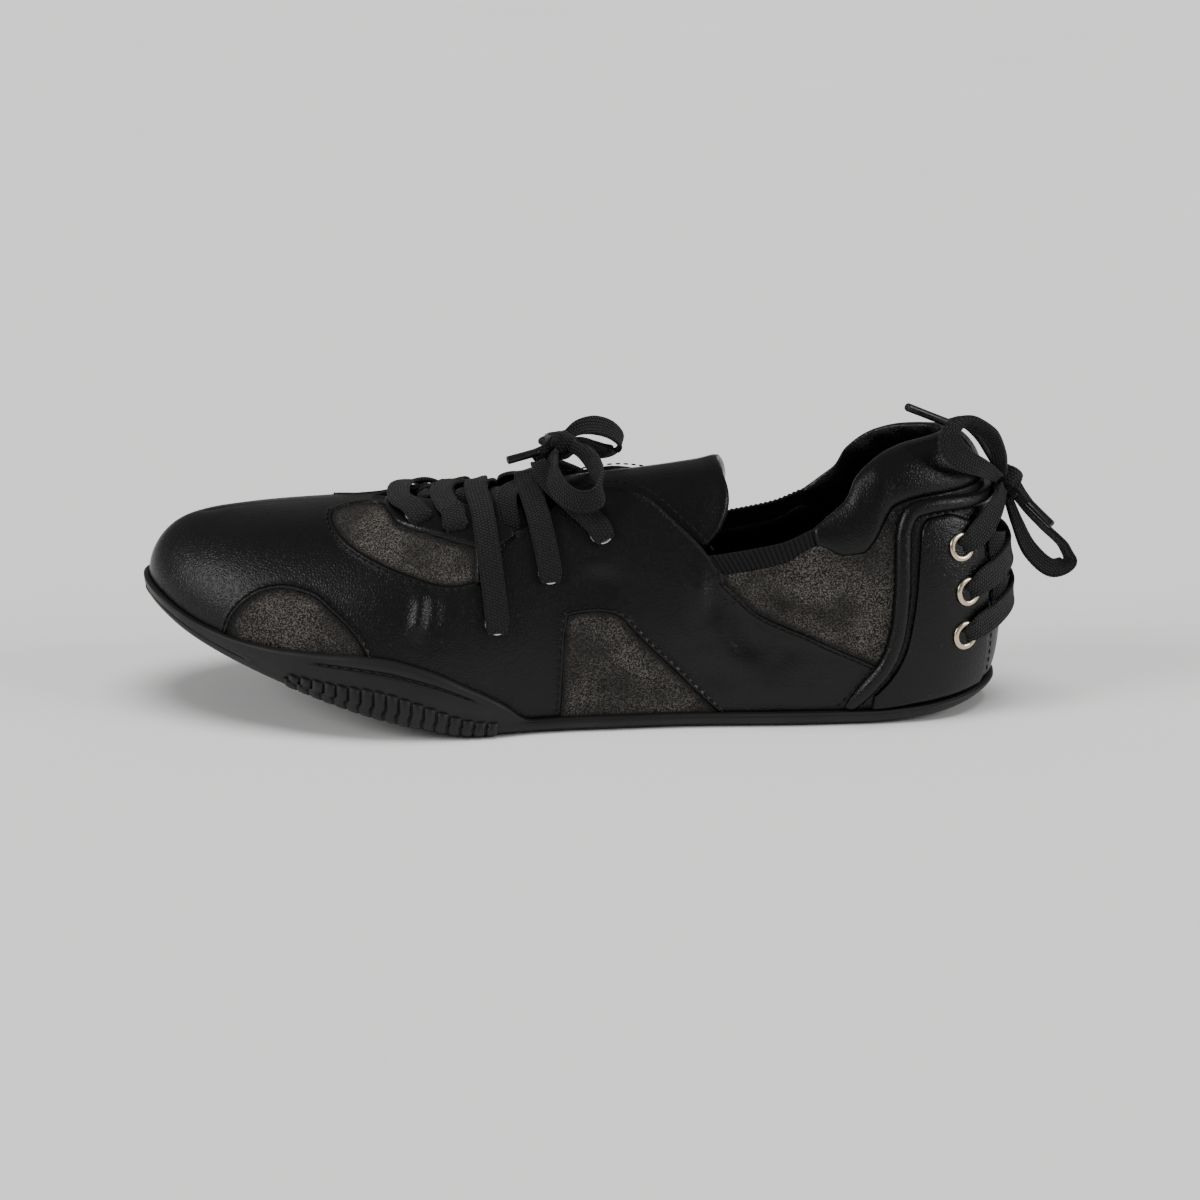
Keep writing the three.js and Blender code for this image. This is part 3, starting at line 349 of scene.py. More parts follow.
# %% Node helpers


def node(tree, kind, inputs=None, **settings):
    """A node with its settings, and its inputs set or linked."""
    made = tree.nodes.new(kind)
    for key, value in settings.items():
        setattr(made, key, value)
    for key, value in (inputs or {}).items():
        if isinstance(value, bpy.types.NodeSocket):
            tree.links.new(value, made.inputs[key])
        else:
            made.inputs[key].default_value = value
    return made


def new_group(name, kind, inputs, outputs):
    """A node group with named sockets, its input node and its output node."""
    group = bpy.data.node_groups.new(name, kind)
    for label, socket, value in inputs:
        made = group.interface.new_socket(name=label, in_out="INPUT", socket_type=socket)
        if value is not None:
            made.default_value = value
    for label, socket in outputs:
        group.interface.new_socket(name=label, in_out="OUTPUT", socket_type=socket)
    return group, group.nodes.new("NodeGroupInput"), group.nodes.new("NodeGroupOutput")


def use_group(tree, group, inputs):
    """A node group placed in a tree, with its inputs set or linked."""
    made = node(tree, "ShaderNodeGroup", node_tree=group)
    for key, value in inputs.items():
        if isinstance(value, bpy.types.NodeSocket):
            tree.links.new(value, made.inputs[key])
        else:
            made.inputs[key].default_value = value
    return made


def maths(tree, operation, first, second=0.0):
    """Output of one Math node."""
    return node(tree, "ShaderNodeMath", {0: first, 1: second}, operation=operation).outputs[0]


def ramp(tree, value, low, high, to_low=0.0, to_high=1.0):
    """Value mapped smoothly from low..high to to_low..to_high."""
    made = node(tree, "ShaderNodeMapRange", {
        "Value": value, "From Min": low, "From Max": high, "To Min": to_low, "To Max": to_high,
    }, interpolation_type="SMOOTHSTEP")
    return made.outputs["Result"]


def blend(tree, factor, first, second):
    """Colour between two colours."""
    made = node(tree, "ShaderNodeMix", data_type="RGBA")
    for socket, value in ((0, factor), (6, first), (7, second)):
        if isinstance(value, bpy.types.NodeSocket):
            tree.links.new(value, made.inputs[socket])
        else:
            made.inputs[socket].default_value = value
    return made.outputs[2]


def grey(level, warm=0.0):
    """A near-neutral colour in linear light."""
    return (level * (1 + warm), level, level * (1 - warm), 1)


def noise(tree, place, scale, detail):
    """Noise on a place, with its scale in repeats a unit of that place."""
    return node(tree, "ShaderNodeTexNoise", {"Vector": place, "Scale": scale, "Detail": detail})


VECTOR, FLOAT = "NodeSocketVector", "NodeSocketFloat"

# %% [markdown]
# Nappa shows small rounded cells with creases between them. Edges of Voronoi cells, softened and
# broken up by noise, give that height. The nap of suede is finer and has light and dark specks.

# %% Groups for grain, nap, weave and dust
grain, g_in, g_out = new_group("Leather grain", "ShaderNodeTree", [
    ("Vector", VECTOR, None), ("Cells per metre", FLOAT, 1100.0),
], [("Height", FLOAT), ("Tone", FLOAT)])
drift = noise(grain, g_in.outputs["Vector"], 420.0, 2.0)
bent = node(grain, "ShaderNodeVectorMath", {0: drift.outputs["Color"], "Scale": 0.0011}, operation="SCALE")
place = node(grain, "ShaderNodeVectorMath", {0: g_in.outputs["Vector"], 1: bent.outputs[0]}, operation="ADD")
cells = node(grain, "ShaderNodeTexVoronoi", {
    "Vector": place.outputs[0], "Scale": g_in.outputs["Cells per metre"], "Randomness": 1.0,
}, feature="DISTANCE_TO_EDGE")
pebble = ramp(grain, cells.outputs["Distance"], 0.0, 0.45)
fine = noise(grain, g_in.outputs["Vector"], 2600.0, 3.0)
height = maths(grain, "ADD", pebble, maths(grain, "MULTIPLY", fine.outputs["Fac"], 0.08))
grain.links.new(height, g_out.inputs["Height"])
broad = noise(grain, g_in.outputs["Vector"], 38.0, 4.0)
grain.links.new(broad.outputs["Fac"], g_out.inputs["Tone"])

nap, g_in, g_out = new_group("Suede nap", "ShaderNodeTree", [
    ("Vector", VECTOR, None), ("Fibre scale", FLOAT, 1500.0),
], [("Height", FLOAT), ("Speck", FLOAT), ("Tone", FLOAT)])
fibre = node(nap, "ShaderNodeTexNoise", {
    "Vector": g_in.outputs["Vector"], "Scale": g_in.outputs["Fibre scale"], "Detail": 3.0, "Roughness": 0.65,
})
speck = node(nap, "ShaderNodeTexNoise", {
    "Vector": g_in.outputs["Vector"], "Scale": 2100.0, "Detail": 3.0, "Roughness": 0.75,
})
cloud = noise(nap, g_in.outputs["Vector"], 60.0, 3.0)
nap.links.new(fibre.outputs["Fac"], g_out.inputs["Height"])
nap.links.new(ramp(nap, speck.outputs["Fac"], 0.42, 0.66), g_out.inputs["Speck"])
nap.links.new(cloud.outputs["Fac"], g_out.inputs["Tone"])

weave, g_in, g_out = new_group("Flat weave", "ShaderNodeTree", [
    ("Vector", VECTOR, None), ("Threads", FLOAT, 1.0),
], [("Height", FLOAT), ("Tone", FLOAT)])
parts = node(weave, "ShaderNodeSeparateXYZ", {0: g_in.outputs["Vector"]})
along = maths(weave, "MULTIPLY", parts.outputs["X"], g_in.outputs["Threads"])
over = maths(weave, "MULTIPLY", parts.outputs["Y"], g_in.outputs["Threads"])
row = maths(weave, "FLOOR", over)
shift = maths(weave, "MULTIPLY", maths(weave, "MODULO", row, 2.0), 0.5)
warp = maths(weave, "ABSOLUTE", maths(weave, "SINE", maths(weave, "MULTIPLY", over, math.pi)))
weft = maths(weave, "ABSOLUTE", maths(
    weave, "SINE", maths(weave, "MULTIPLY", maths(weave, "ADD", along, shift), math.pi)))
weave.links.new(maths(weave, "MULTIPLY", warp, weft), g_out.inputs["Height"])
fuzz = noise(weave, g_in.outputs["Vector"], 0.8, 5.0)
weave.links.new(fuzz.outputs["Fac"], g_out.inputs["Tone"])

dust, g_in, g_out = new_group("Dust", "ShaderNodeTree", [
    ("Vector", VECTOR, None), ("Amount", FLOAT, 0.5),
], [("Mask", FLOAT)])
spots = noise(dust, g_in.outputs["Vector"], 900.0, 2.0)
patch = noise(dust, g_in.outputs["Vector"], 25.0, 3.0)
mask = maths(dust, "MULTIPLY", ramp(dust, spots.outputs["Fac"], 0.68, 0.80),
             ramp(dust, patch.outputs["Fac"], 0.48, 0.70))
dust.links.new(maths(dust, "MULTIPLY", mask, g_in.outputs["Amount"]), g_out.inputs["Mask"])
print("groups:", [g.name for g in bpy.data.node_groups])

# %% Materials


def new_material(name, roughness=0.5, metallic=0.0, specular=0.5):
    material = bpy.data.materials.new(name)
    material.use_nodes = True
    tree = material.node_tree
    tree.nodes.clear()
    shader = node(tree, "ShaderNodeBsdfPrincipled", {
        "Roughness": roughness, "Metallic": metallic, "Specular IOR Level": specular,
    })
    end = node(tree, "ShaderNodeOutputMaterial")
    tree.links.new(shader.outputs[0], end.inputs["Surface"])
    place = node(tree, "ShaderNodeTexCoord")
    return material, tree, shader, place


def bump(tree, shader, height, depth, strength=1.0):
    """Height in units of depth, in metres."""
    made = node(tree, "ShaderNodeBump", {"Height": height, "Distance": depth, "Strength": strength})
    tree.links.new(made.outputs["Normal"], shader.inputs["Normal"])


def attribute(tree, name):
    """Value of a mesh attribute."""
    return node(tree, "ShaderNodeAttribute", attribute_name=name).outputs["Fac"]


def nappa(name, level, roughness, cells=1100.0):
    """Smooth black leather with a fine grain."""
    material, tree, shader, place = new_material(name, roughness, specular=0.24)
    spot = use_group(tree, grain, {"Vector": place.outputs["Object"], "Cells per metre": cells})
    grime = use_group(tree, dust, {"Vector": place.outputs["Object"], "Amount": 0.3})
    tone = blend(tree, ramp(tree, spot.outputs["Tone"], 0.3, 0.7), grey(level * 0.8), grey(level * 1.3))
    colour = blend(tree, grime.outputs["Mask"], tone, grey(0.10, 0.05))
    tree.links.new(colour, shader.inputs["Base Color"])
    gloss = ramp(tree, spot.outputs["Tone"], 0.25, 0.75, roughness + 0.06, roughness - 0.05)
    tree.links.new(gloss, shader.inputs["Roughness"])
    bump(tree, shader, spot.outputs["Height"], 0.00006)
    return material


LEATHER = nappa("nappa", 0.0032, 0.31)
LINING = nappa("lining_leather", 0.0035, 0.32, 800.0)
print("nappa and lining ready")


EDGE_ROLL = 1.8


def upper_leather():
    """Nappa and suede in one finish: the attribute suede is the distance into a suede panel, in mm."""
    material, tree, shader, place = new_material("nappa_and_suede", specular=0.24)
    spot = use_group(tree, grain, {"Vector": place.outputs["Object"], "Cells per metre": 1100.0})
    hair = use_group(tree, nap, {"Vector": place.outputs["Object"], "Fibre scale": 1500.0})
    grime = use_group(tree, dust, {"Vector": place.outputs["Object"], "Amount": 0.35})
    into = attribute(tree, "suede")
    panel = ramp(tree, into, -0.12, 0.12)
    smooth = blend(tree, ramp(tree, spot.outputs["Tone"], 0.3, 0.7), grey(0.0026), grey(0.0044))
    smooth = blend(tree, grime.outputs["Mask"], smooth, grey(0.10, 0.05))
    rough = blend(tree, hair.outputs["Speck"], grey(0.003, 0.05), grey(0.105, 0.10))
    rough = blend(tree, ramp(tree, hair.outputs["Tone"], 0.38, 0.66, 0.0, 0.7), rough, grey(0.010, 0.07))
    # Painted shade: the suede is darker within 2.2 mm of the edge of its window, where it lies low beside
    # the rolled leather.
    shaded = blend(tree, ramp(tree, into, 0.0, 2.2, 0.8, 0.0), rough, grey(0.006, 0.05))
    tree.links.new(blend(tree, panel, smooth, shaded), shader.inputs["Base Color"])
    gloss = ramp(tree, spot.outputs["Tone"], 0.25, 0.75, 0.42, 0.32)
    both = node(tree, "ShaderNodeMix", {0: panel, 2: gloss, 3: 0.95}, data_type="FLOAT")
    tree.links.new(both.outputs[0], shader.inputs["Roughness"])
    pebbles = maths(tree, "MULTIPLY", spot.outputs["Height"], 0.00007)
    hairs = maths(tree, "MULTIPLY", hair.outputs["Height"], 0.00025)
    fine = node(tree, "ShaderNodeMix", {0: panel, 2: pebbles, 3: hairs}, data_type="FLOAT").outputs[0]
    seam = attribute(tree, "seam")
    groove = ramp(tree, seam, 0.0, 0.7, -0.00035, 0.0)
    across = node(tree, "ShaderNodeMapRange", {"Value": into, "From Min": -EDGE_ROLL, "From Max": 0.0})
    roll = maths(tree, "SINE", maths(tree, "MULTIPLY", across.outputs["Result"], math.pi))
    sewn = maths(tree, "ADD", groove, maths(tree, "MULTIPLY", roll, 0.00045))
    bump(tree, shader, maths(tree, "ADD", fine, sewn), 1.0)
    return material


UPPER_LEATHER = upper_leather()


def rubber():
    """Black sole rubber: satin, finely rough, with a little dust."""
    material, tree, shader, place = new_material("satin_rubber", specular=0.3)
    fine = noise(tree, place.outputs["Object"], 1800.0, 3.0)
    broad = noise(tree, place.outputs["Object"], 45.0, 4.0)
    grime = use_group(tree, dust, {"Vector": place.outputs["Object"], "Amount": 0.3})
    tone = blend(tree, ramp(tree, broad.outputs["Fac"], 0.3, 0.7), grey(0.0055), grey(0.009, 0.02))
    tree.links.new(blend(tree, grime.outputs["Mask"], tone, grey(0.09, 0.05)), shader.inputs["Base Color"])
    tree.links.new(ramp(tree, broad.outputs["Fac"], 0.3, 0.7, 0.58, 0.46), shader.inputs["Roughness"])
    bump(tree, shader, fine.outputs["Fac"], 0.00006)
    return material


def cotton(name, level, threads, depth):
    """Woven thread on the piece's own UV map, which is in millimetres."""
    material, tree, shader, place = new_material(name, 0.85, specular=0.25)
    cloth = use_group(tree, weave, {"Vector": place.outputs["UV"], "Threads": threads})
    # Painted shade and highlight: the colour is dark in the hollows between threads and light on their
    # crowns, following the height of the weave. Light fuzz at random is laid over it.
    tone = blend(tree, cloth.outputs["Height"], grey(level * 0.35), grey(level * 2.2))
    weave_shade_and_fuzz = blend(tree, ramp(tree, cloth.outputs["Tone"], 0.45, 0.8), tone, grey(level * 2.6))
    tree.links.new(weave_shade_and_fuzz, shader.inputs["Base Color"])
    shader.inputs["Sheen Weight"].default_value = 0.06
    shader.inputs["Sheen Roughness"].default_value = 0.5
    bump(tree, shader, cloth.outputs["Height"], depth)
    return material


def metal(name, colour, roughness):
    """Plated metal with fine marks in its gloss."""
    material, tree, shader, place = new_material(name, roughness, 1.0)
    marks = noise(tree, place.outputs["Object"], 700.0, 4.0)
    tone = blend(tree, marks.outputs["Fac"], tuple(c * 0.8 for c in colour) + (1,), colour + (1,))
    tree.links.new(tone, shader.inputs["Base Color"])
    gloss = ramp(tree, marks.outputs["Fac"], 0.3, 0.7, roughness - 0.06, roughness + 0.08)
    tree.links.new(gloss, shader.inputs["Roughness"])
    bump(tree, shader, marks.outputs["Fac"], 0.00002)
    return material


def plastic():
    """Rolled tip of a lace."""
    material, tree, shader, place = new_material("lace_tip", specular=0.35)
    marks = noise(tree, place.outputs["Object"], 500.0, 3.0)
    tone = blend(tree, marks.outputs["Fac"], grey(0.004), grey(0.009))
    tree.links.new(tone, shader.inputs["Base Color"])
    tree.links.new(ramp(tree, marks.outputs["Fac"], 0.3, 0.7, 0.24, 0.4), shader.inputs["Roughness"])
    bump(tree, shader, marks.outputs["Fac"], 0.00005)
    return material


RUBBER = rubber()
LACE = cotton("woven_lace", 0.0042, 1.0, 0.0005)
ELASTIC = cotton("elastic_band", 0.006, 1.4, 0.00012)
THREAD = cotton("thread", 0.005, 3.0, 0.0001)
NICKEL = metal("champagne_nickel", (0.62, 0.52, 0.40), 0.24)
STEEL = metal("bright_steel", (0.62, 0.62, 0.64), 0.25)
TIP = plastic()
print("materials:", len(bpy.data.materials))

# %% [markdown]
# ## Panels and seams of the upper
# The upper is sewn from black nappa with four grey suede windows on each side. Each outline is a short
# row of places on the last, drawn through as a soft curve. Two distances are then measured from every
# point of the upper, in millimetres: how far it lies inside a suede window, and how far from a seam.
# The finish reads both, so an edge stays crisp without more faces.

# %% Soft curves


def spline(points, count):
    """Places along a centripetal curve through points."""
    p = np.asarray(points, float)
    p = np.concatenate([[2 * p[0] - p[1]], p, [2 * p[-1] - p[-2]]])
    t = np.linspace(0, len(p) - 3, count)
    i = np.minimum(t.astype(int), len(p) - 4)
    w = (t - i)[:, None]
    a, b, c, d = p[i], p[i + 1], p[i + 2], p[i + 3]

    def root(x, y):
        return np.sqrt(np.maximum(np.linalg.norm(y - x, axis=1), 1e-9))[:, None]

    ab, bc, cd = root(a, b), root(b, c), root(c, d)
    start = ((b - a) / ab - (c - a) / (ab + bc) + (c - b) / bc) * bc
    end = ((c - b) / bc - (d - b) / (bc + cd) + (d - c) / cd) * bc
    return ((2 * w**3 - 3 * w**2 + 1) * b + (w**3 - 2 * w**2 + w) * start
            + (3 * w**2 - 2 * w**3) * c + (w**3 - w**2) * end)


# %% Outlines as (s, v)
TOE_DOME = spline([(0.905, 0.0), (0.895, 0.080), (0.888, 0.175), (0.872, 0.282), (0.852, 0.347),
                   (0.829, 0.375), (0.799, 0.365), (0.775, 0.318), (0.751, 0.260), (0.733, 0.185),
                   (0.715, 0.0)], 70)
CRESCENT_LOW = spline([(0.799, 0.850), (0.796, 0.780), (0.785, 0.703), (0.760, 0.608), (0.717, 0.522),
                       (0.678, 0.472), (0.655, 0.448), (0.635, 0.438), (0.606, 0.446)], 60)
CRESCENT_TOP = spline([(0.606, 0.560), (0.637, 0.600), (0.661, 0.635), (0.682, 0.665), (0.707, 0.715),
                       (0.719, 0.790), (0.733, 0.870), (0.751, 0.905), (0.775, 0.905), (0.799, 0.850)], 60)
WAIST_EDGE = spline([(0.511, 0.0), (0.508, 0.120), (0.505, 0.230), (0.500, 0.296)], 30)
WAIST_SLOPE = spline([(0.500, 0.296), (0.487, 0.300), (0.466, 0.300), (0.446, 0.287), (0.428, 0.242),
                      (0.409, 0.190), (0.384, 0.133), (0.358, 0.070), (0.326, 0.0)], 60)
REAR_SEAM = spline([(0.318, 0.352), (0.308, 0.325), (0.281, 0.265), (0.250, 0.228), (0.225, 0.203),
                    (0.202, 0.175), (0.169, 0.140), (0.140, 0.108)], 60)
REAR_BACK = spline([(0.136, 0.150), (0.127, 0.240), (0.122, 0.335), (0.119, 0.430), (0.126, 0.470)], 30)
REAR_TOP = spline([(0.142, 0.430), (0.173, 0.420), (0.207, 0.450), (0.249, 0.415), (0.318, 0.400)], 30)
QUARTER_FRONT = spline([(0.612, 0.440), (0.583, 0.512), (0.554, 0.590), (0.522, 0.640)], 30)
WINDOWS = [
    [TOE_DOME],
    [CRESCENT_LOW, CRESCENT_TOP],
    [WAIST_EDGE, WAIST_SLOPE],
    [REAR_SEAM, REAR_BACK, REAR_TOP],
]
SEAMS = [TOE_DOME, CRESCENT_LOW, CRESCENT_TOP, WAIST_EDGE, WAIST_SLOPE, REAR_SEAM, QUARTER_FRONT]
print("suede windows on each side:", len(WINDOWS))

# %% Distances from outlines, in millimetres
FAR = 30.0


def distance_to(points, path):
    """Shortest distance from each point to a path."""
    best = np.full(len(points), FAR)
    for a, b in zip(path[:-1], path[1:]):
        along = b - a
        t = np.clip((points - a) @ along / max(float(along @ along), 1e-9), 0, 1)
        best = np.minimum(best, np.linalg.norm(points - a - t[:, None] * along, axis=1))
    return best


def within(s, v, path):
    """True where (s, v) lies inside a closed path, by counting crossings."""
    hit = np.zeros(s.shape, bool)
    for (s1, v1), (s2, v2) in zip(path[:-1], path[1:]):
        if v1 != v2:
            at = s1 + (v - v1) / (v2 - v1) * (s2 - s1)
            hit ^= ((v1 > v) != (v2 > v)) & (s < at)
    return hit


def near_path(s, here, path):
    """Which of some places lie near enough to a path to be measured."""
    reach = FAR / LENGTH
    return here & (s > path[:, 0].min() - reach) & (s < path[:, 0].max() + reach)


def fields(u, v):
    """Distance into the suede and distance from the nearest seam, for places on the upper."""
    u, v = u.ravel(), v.ravel()
    s = share(u)
    points = surface(u, v)
    suede = np.full(s.shape, -FAR)
    seam = np.full(s.shape, FAR)
    for inner in (False, True):
        here = (u > 1) == inner
        for parts in WINDOWS:
            path = np.concatenate([*parts, parts[0][:1]])
            near = near_path(s, here, path)
            away = distance_to(points[near], surface(turn(path[:, 0], inner), path[:, 1]))
            sign = np.where(within(s[near], v[near], path), 1, -1)
            suede[near] = np.maximum(suede[near], away * sign)
        for path in SEAMS:
            near = near_path(s, here, path)
            away = distance_to(points[near], surface(turn(path[:, 0], inner), path[:, 1]))
            seam[near] = np.minimum(seam[near], away)
    return suede, seam


# %% [markdown]
# ## Creases
# Soft leather keeps the folds of wear. The main ones are listed, each as a line between two or
# three places with a width and a depth in millimetres: a trough where the depth is positive, a ridge
# where it is negative. They are part of the mesh, so that they also show in the outline.

# %% Creases
FOLD = 1.5
CREASES = [
    ([(0.353, 0.450), (0.348, 0.390), (0.351, 0.310), (0.360, 0.240)], 4.0, -0.9),
    ([(0.331, 0.380), (0.333, 0.300), (0.341, 0.220)], 3.0, 0.7),
    ([(0.671, 0.432), (0.669, 0.375), (0.674, 0.300), (0.680, 0.240)], 2.2, -0.9),
    ([(0.660, 0.450), (0.655, 0.360), (0.660, 0.260)], 2.6, 0.8),
    ([(0.684, 0.420), (0.684, 0.330), (0.692, 0.260)], 4.6, 0.45),
    ([(0.650, 0.400), (0.644, 0.320), (0.650, 0.240)], 4.0, -0.2),
    ([(0.487, 0.240), (0.457, 0.242), (0.428, 0.188), (0.409, 0.105)], 3.2, 1.3),
    ([(0.471, 0.135), (0.437, 0.087), (0.387, 0.030)], 3.0, 1.1),
    ([(0.440, 0.200), (0.425, 0.140), (0.400, 0.070)], 2.6, -0.7),
    ([(0.497, 0.170), (0.480, 0.100), (0.455, 0.040)], 2.6, 0.6),
    ([(0.500, 0.405), (0.462, 0.385), (0.425, 0.350)], 4.0, 0.9),
    ([(0.495, 0.470), (0.455, 0.455), (0.415, 0.430)], 4.5, -0.6),
    ([(0.316, 0.350), (0.311, 0.268), (0.297, 0.193), (0.265, 0.160)], 3.6, 1.5),
    ([(0.283, 0.350), (0.253, 0.297), (0.221, 0.282), (0.180, 0.300)], 3.4, -1.3),
    ([(0.261, 0.375), (0.236, 0.338), (0.195, 0.328), (0.155, 0.350)], 2.6, 1.1),
    ([(0.277, 0.328), (0.242, 0.258), (0.199, 0.225), (0.150, 0.250)], 3.0, 1.3),
    ([(0.240, 0.215), (0.205, 0.190), (0.165, 0.185)], 2.6, -0.6),
    ([(0.265, 0.110), (0.247, 0.165), (0.223, 0.122)], 3.4, 0.6),
    ([(0.345, 0.180), (0.330, 0.110), (0.300, 0.060)], 4.0, 0.7),
    ([(0.300, 0.130), (0.270, 0.060), (0.235, 0.040)], 4.0, -0.5),
]


def creased(u, v):
    """Height of the folds in millimetres, faded where a fold ends."""
    flat_u, flat_v = u.ravel(), v.ravel()
    s = share(flat_u)
    points = surface(flat_u, flat_v)
    high = np.zeros(s.shape)
    for rows, wide, deep in CREASES:
        path = spline(rows, 24)
        for inner in (False, True):
            near = near_path(s, (flat_u > 1) == inner, path)
            line = surface(turn(path[:, 0], inner), path[:, 1])
            away = distance_to(points[near], line)
            ends = np.minimum(np.linalg.norm(points[near] - line[0], axis=1),
                              np.linalg.norm(points[near] - line[-1], axis=1))
            fade = np.clip(ends / (3 * wide), 0.15, 1)
            high[near] -= FOLD * deep * fade * np.exp(-(away / wide) ** 2)
    return high.reshape(u.shape)


print("folds on each side:", len(CREASES))

# %% [markdown]
# ## The upper
# One hollow shell: the outside with its windows and folds, a rolled rim round the opening, the lining,
# and the edge turned in under the foot. The leather rolls up a little beside each suede window, which
# lies lower, as a folded and stitched edge does.

# %% The upper
THROAT_FRONT = TOPLINE["s"][-1]
STATIONS = 720
OUTER_ROWS = 90
INNER_ROWS = 14
DEEPEST = 1.5


def topline(s):
    """Upper edge of the shell: the collar and the throat, or the crest ahead of them."""
    return np.where(s > THROAT_FRONT - 1e-6, 1.0, pick(TOPLINE, s, "v"))


EDGE_BULGE = 0.5
EDGE_STEP = 0.5
RIM_BEAD = 0.5
RIM_BEAD_WIDE = 1.1


def relief(suede):
    """Rolled leather beside a window, and the lower suede inside it, in millimetres."""
    t = np.clip((suede + 0.6) / 1.6, 0, 1)
    rolled = EDGE_BULGE * np.exp(-((suede + 1.0) / 0.9) ** 2)
    return rolled - EDGE_STEP * t * t * (3 - 2 * t)


turns = np.arange(STATIONS) * 2 / STATIONS
top = topline(share(turns))
start = level_at(turns, 0.5)
b = np.linspace(0, 1, OUTER_ROWS + 1)
u_out = np.repeat(turns[:, None], OUTER_ROWS + 1, 1)
v_out = start[:, None] + (top - start)[:, None] * b
suede, seam = fields(u_out, v_out)
crest_fade = np.where(share(u_out) > THROAT_FRONT - 0.03, np.clip((1 - v_out) / 0.06, 0, 1), 1)
edge_fade = np.clip(b * 12, 0, 1)
off = (relief(suede).reshape(u_out.shape) + creased(u_out, v_out)) * crest_fade * edge_fade
to_edge = np.linalg.norm(surface(u_out, v_out) - surface(turns, top)[:, None], axis=-1)
off = np.where(off < 0, -DEEPEST * np.tanh(-off / DEEPEST), off)
off += np.where(top < 1, RIM_BEAD, 0)[:, None] * np.exp(-(to_edge / RIM_BEAD_WIDE) ** 2)
outer = lasted(u_out, v_out, off)
rim = [lasted(turns, moved(turns, top, np.where(top < 1, lift, 0)), off[:, -1] * (1 - deep) - WALL * deep)
       for lift, deep in ((0.25, 0.2), (0.25, 0.8))]
a_in = np.linspace(1, 0, INNER_ROWS + 1)
inside = level_at(turns, WALL * 1.4)
v_in = inside[:, None] + (top - inside)[:, None] * a_in
inner_wall = lasted(np.repeat(turns[:, None], INNER_ROWS + 1, 1), v_in, np.full(v_in.shape, -WALL))
under = [floor_at(turns, 1.6, WALL), floor_at(turns, 9.0, WALL), floor_at(turns, 9.0, 0.0),
         floor_at(turns, 0.0, 0.0)]
rings = np.concatenate([outer, *[r[:, None] for r in rim], inner_wall, *[r[:, None] for r in under]], 1)
size = rings.shape[1]
faces = np.array(ring_faces(STATIONS, size, True, True)).reshape(STATIONS, size, 4)
shut = (top >= 1) & (np.roll(top, -1) >= 1)
keep = np.ones((STATIONS, size), bool)
keep[shut, OUTER_ROWS:OUTER_ROWS + 3] = False
mesh = bpy.data.meshes.new("upper")
mesh.from_pydata((rings.reshape(-1, 3) * MM).tolist(), [], faces[keep].tolist())
for name, values in (("suede", suede), ("seam", seam)):
    spread = np.full((STATIONS, size), -FAR if name == "suede" else FAR)
    spread[:, :OUTER_ROWS + 1] = values.reshape(STATIONS, -1)
    mesh.attributes.new(name, "FLOAT", "POINT").data.foreach_set("value", spread.ravel())
upper = bpy.data.objects.new("leather_upper", mesh)
bpy.context.collection.objects.link(upper)
work = bmesh.new()
work.from_mesh(mesh)
bmesh.ops.remove_doubles(work, verts=work.verts, dist=2e-6)
if work.calc_volume(signed=True) < 0:
    bmesh.ops.reverse_faces(work, faces=work.faces)
work.to_mesh(mesh)
work.free()
mesh.shade_smooth()
mesh.materials.append(UPPER_LEATHER)
dress(upper, ["upper"])

# %% [markdown]
# ## The sole
# A thin cup of rubber. Its side wall stands low behind the ball, rises at the forefoot with a groove
# and a moulded stitch line, and ends at the toe. The wall is one section carried round the last.

# %% Sole tables
BUMPER = table("s high", [
    (0.00, 0.20), (0.545, 0.20), (0.578, 1.70), (0.610, 2.90), (0.659, 3.95), (0.700, 4.20),
    (0.735, 3.85), (0.790, 2.85), (0.843, 1.85), (0.900, 1.10), (0.950, 0.85), (1.00, 0.90),
])
RIB_TOP = table("s high", [
    (0.585, 0.45), (0.622, 0.80), (0.657, 1.30), (0.709, 1.80), (0.762, 1.30), (0.830, 0.50),
])
RIBS = 17
RIB_FIRST = 0.590
RIB_LAST = 0.812
GROOVE_ENDS = (0.605, 0.795)
GROOVE_AT = 0.735
RIB_HALF = 1.75
RIB_LEAN = 2.0
EDGE_THICK = 1.5
BUMPER_THICK = 2.4
WALL_SHAPE = [(1.00, 0.45), (0.97, 0.80), (0.90, 0.98), (0.82, 1.00), (0.775, 0.90), (0.755, 0.62),
              (0.735, 0.58), (0.715, 0.62), (0.695, 0.92), (0.66, 1.00), (0.45, 1.04), (0.15, 1.05)]


def bumper_high(s):
    """Height of the sole's side wall."""
    return SOLE_THICK * pick(BUMPER, s, "high")


def wall_thick(s):
    """Thickness of the sole's side wall, which is more where it stands higher."""
    t = np.minimum(bumper_high(s) / (2 * SOLE_THICK), 1)
    return EDGE_THICK + (BUMPER_THICK - EDGE_THICK) * t


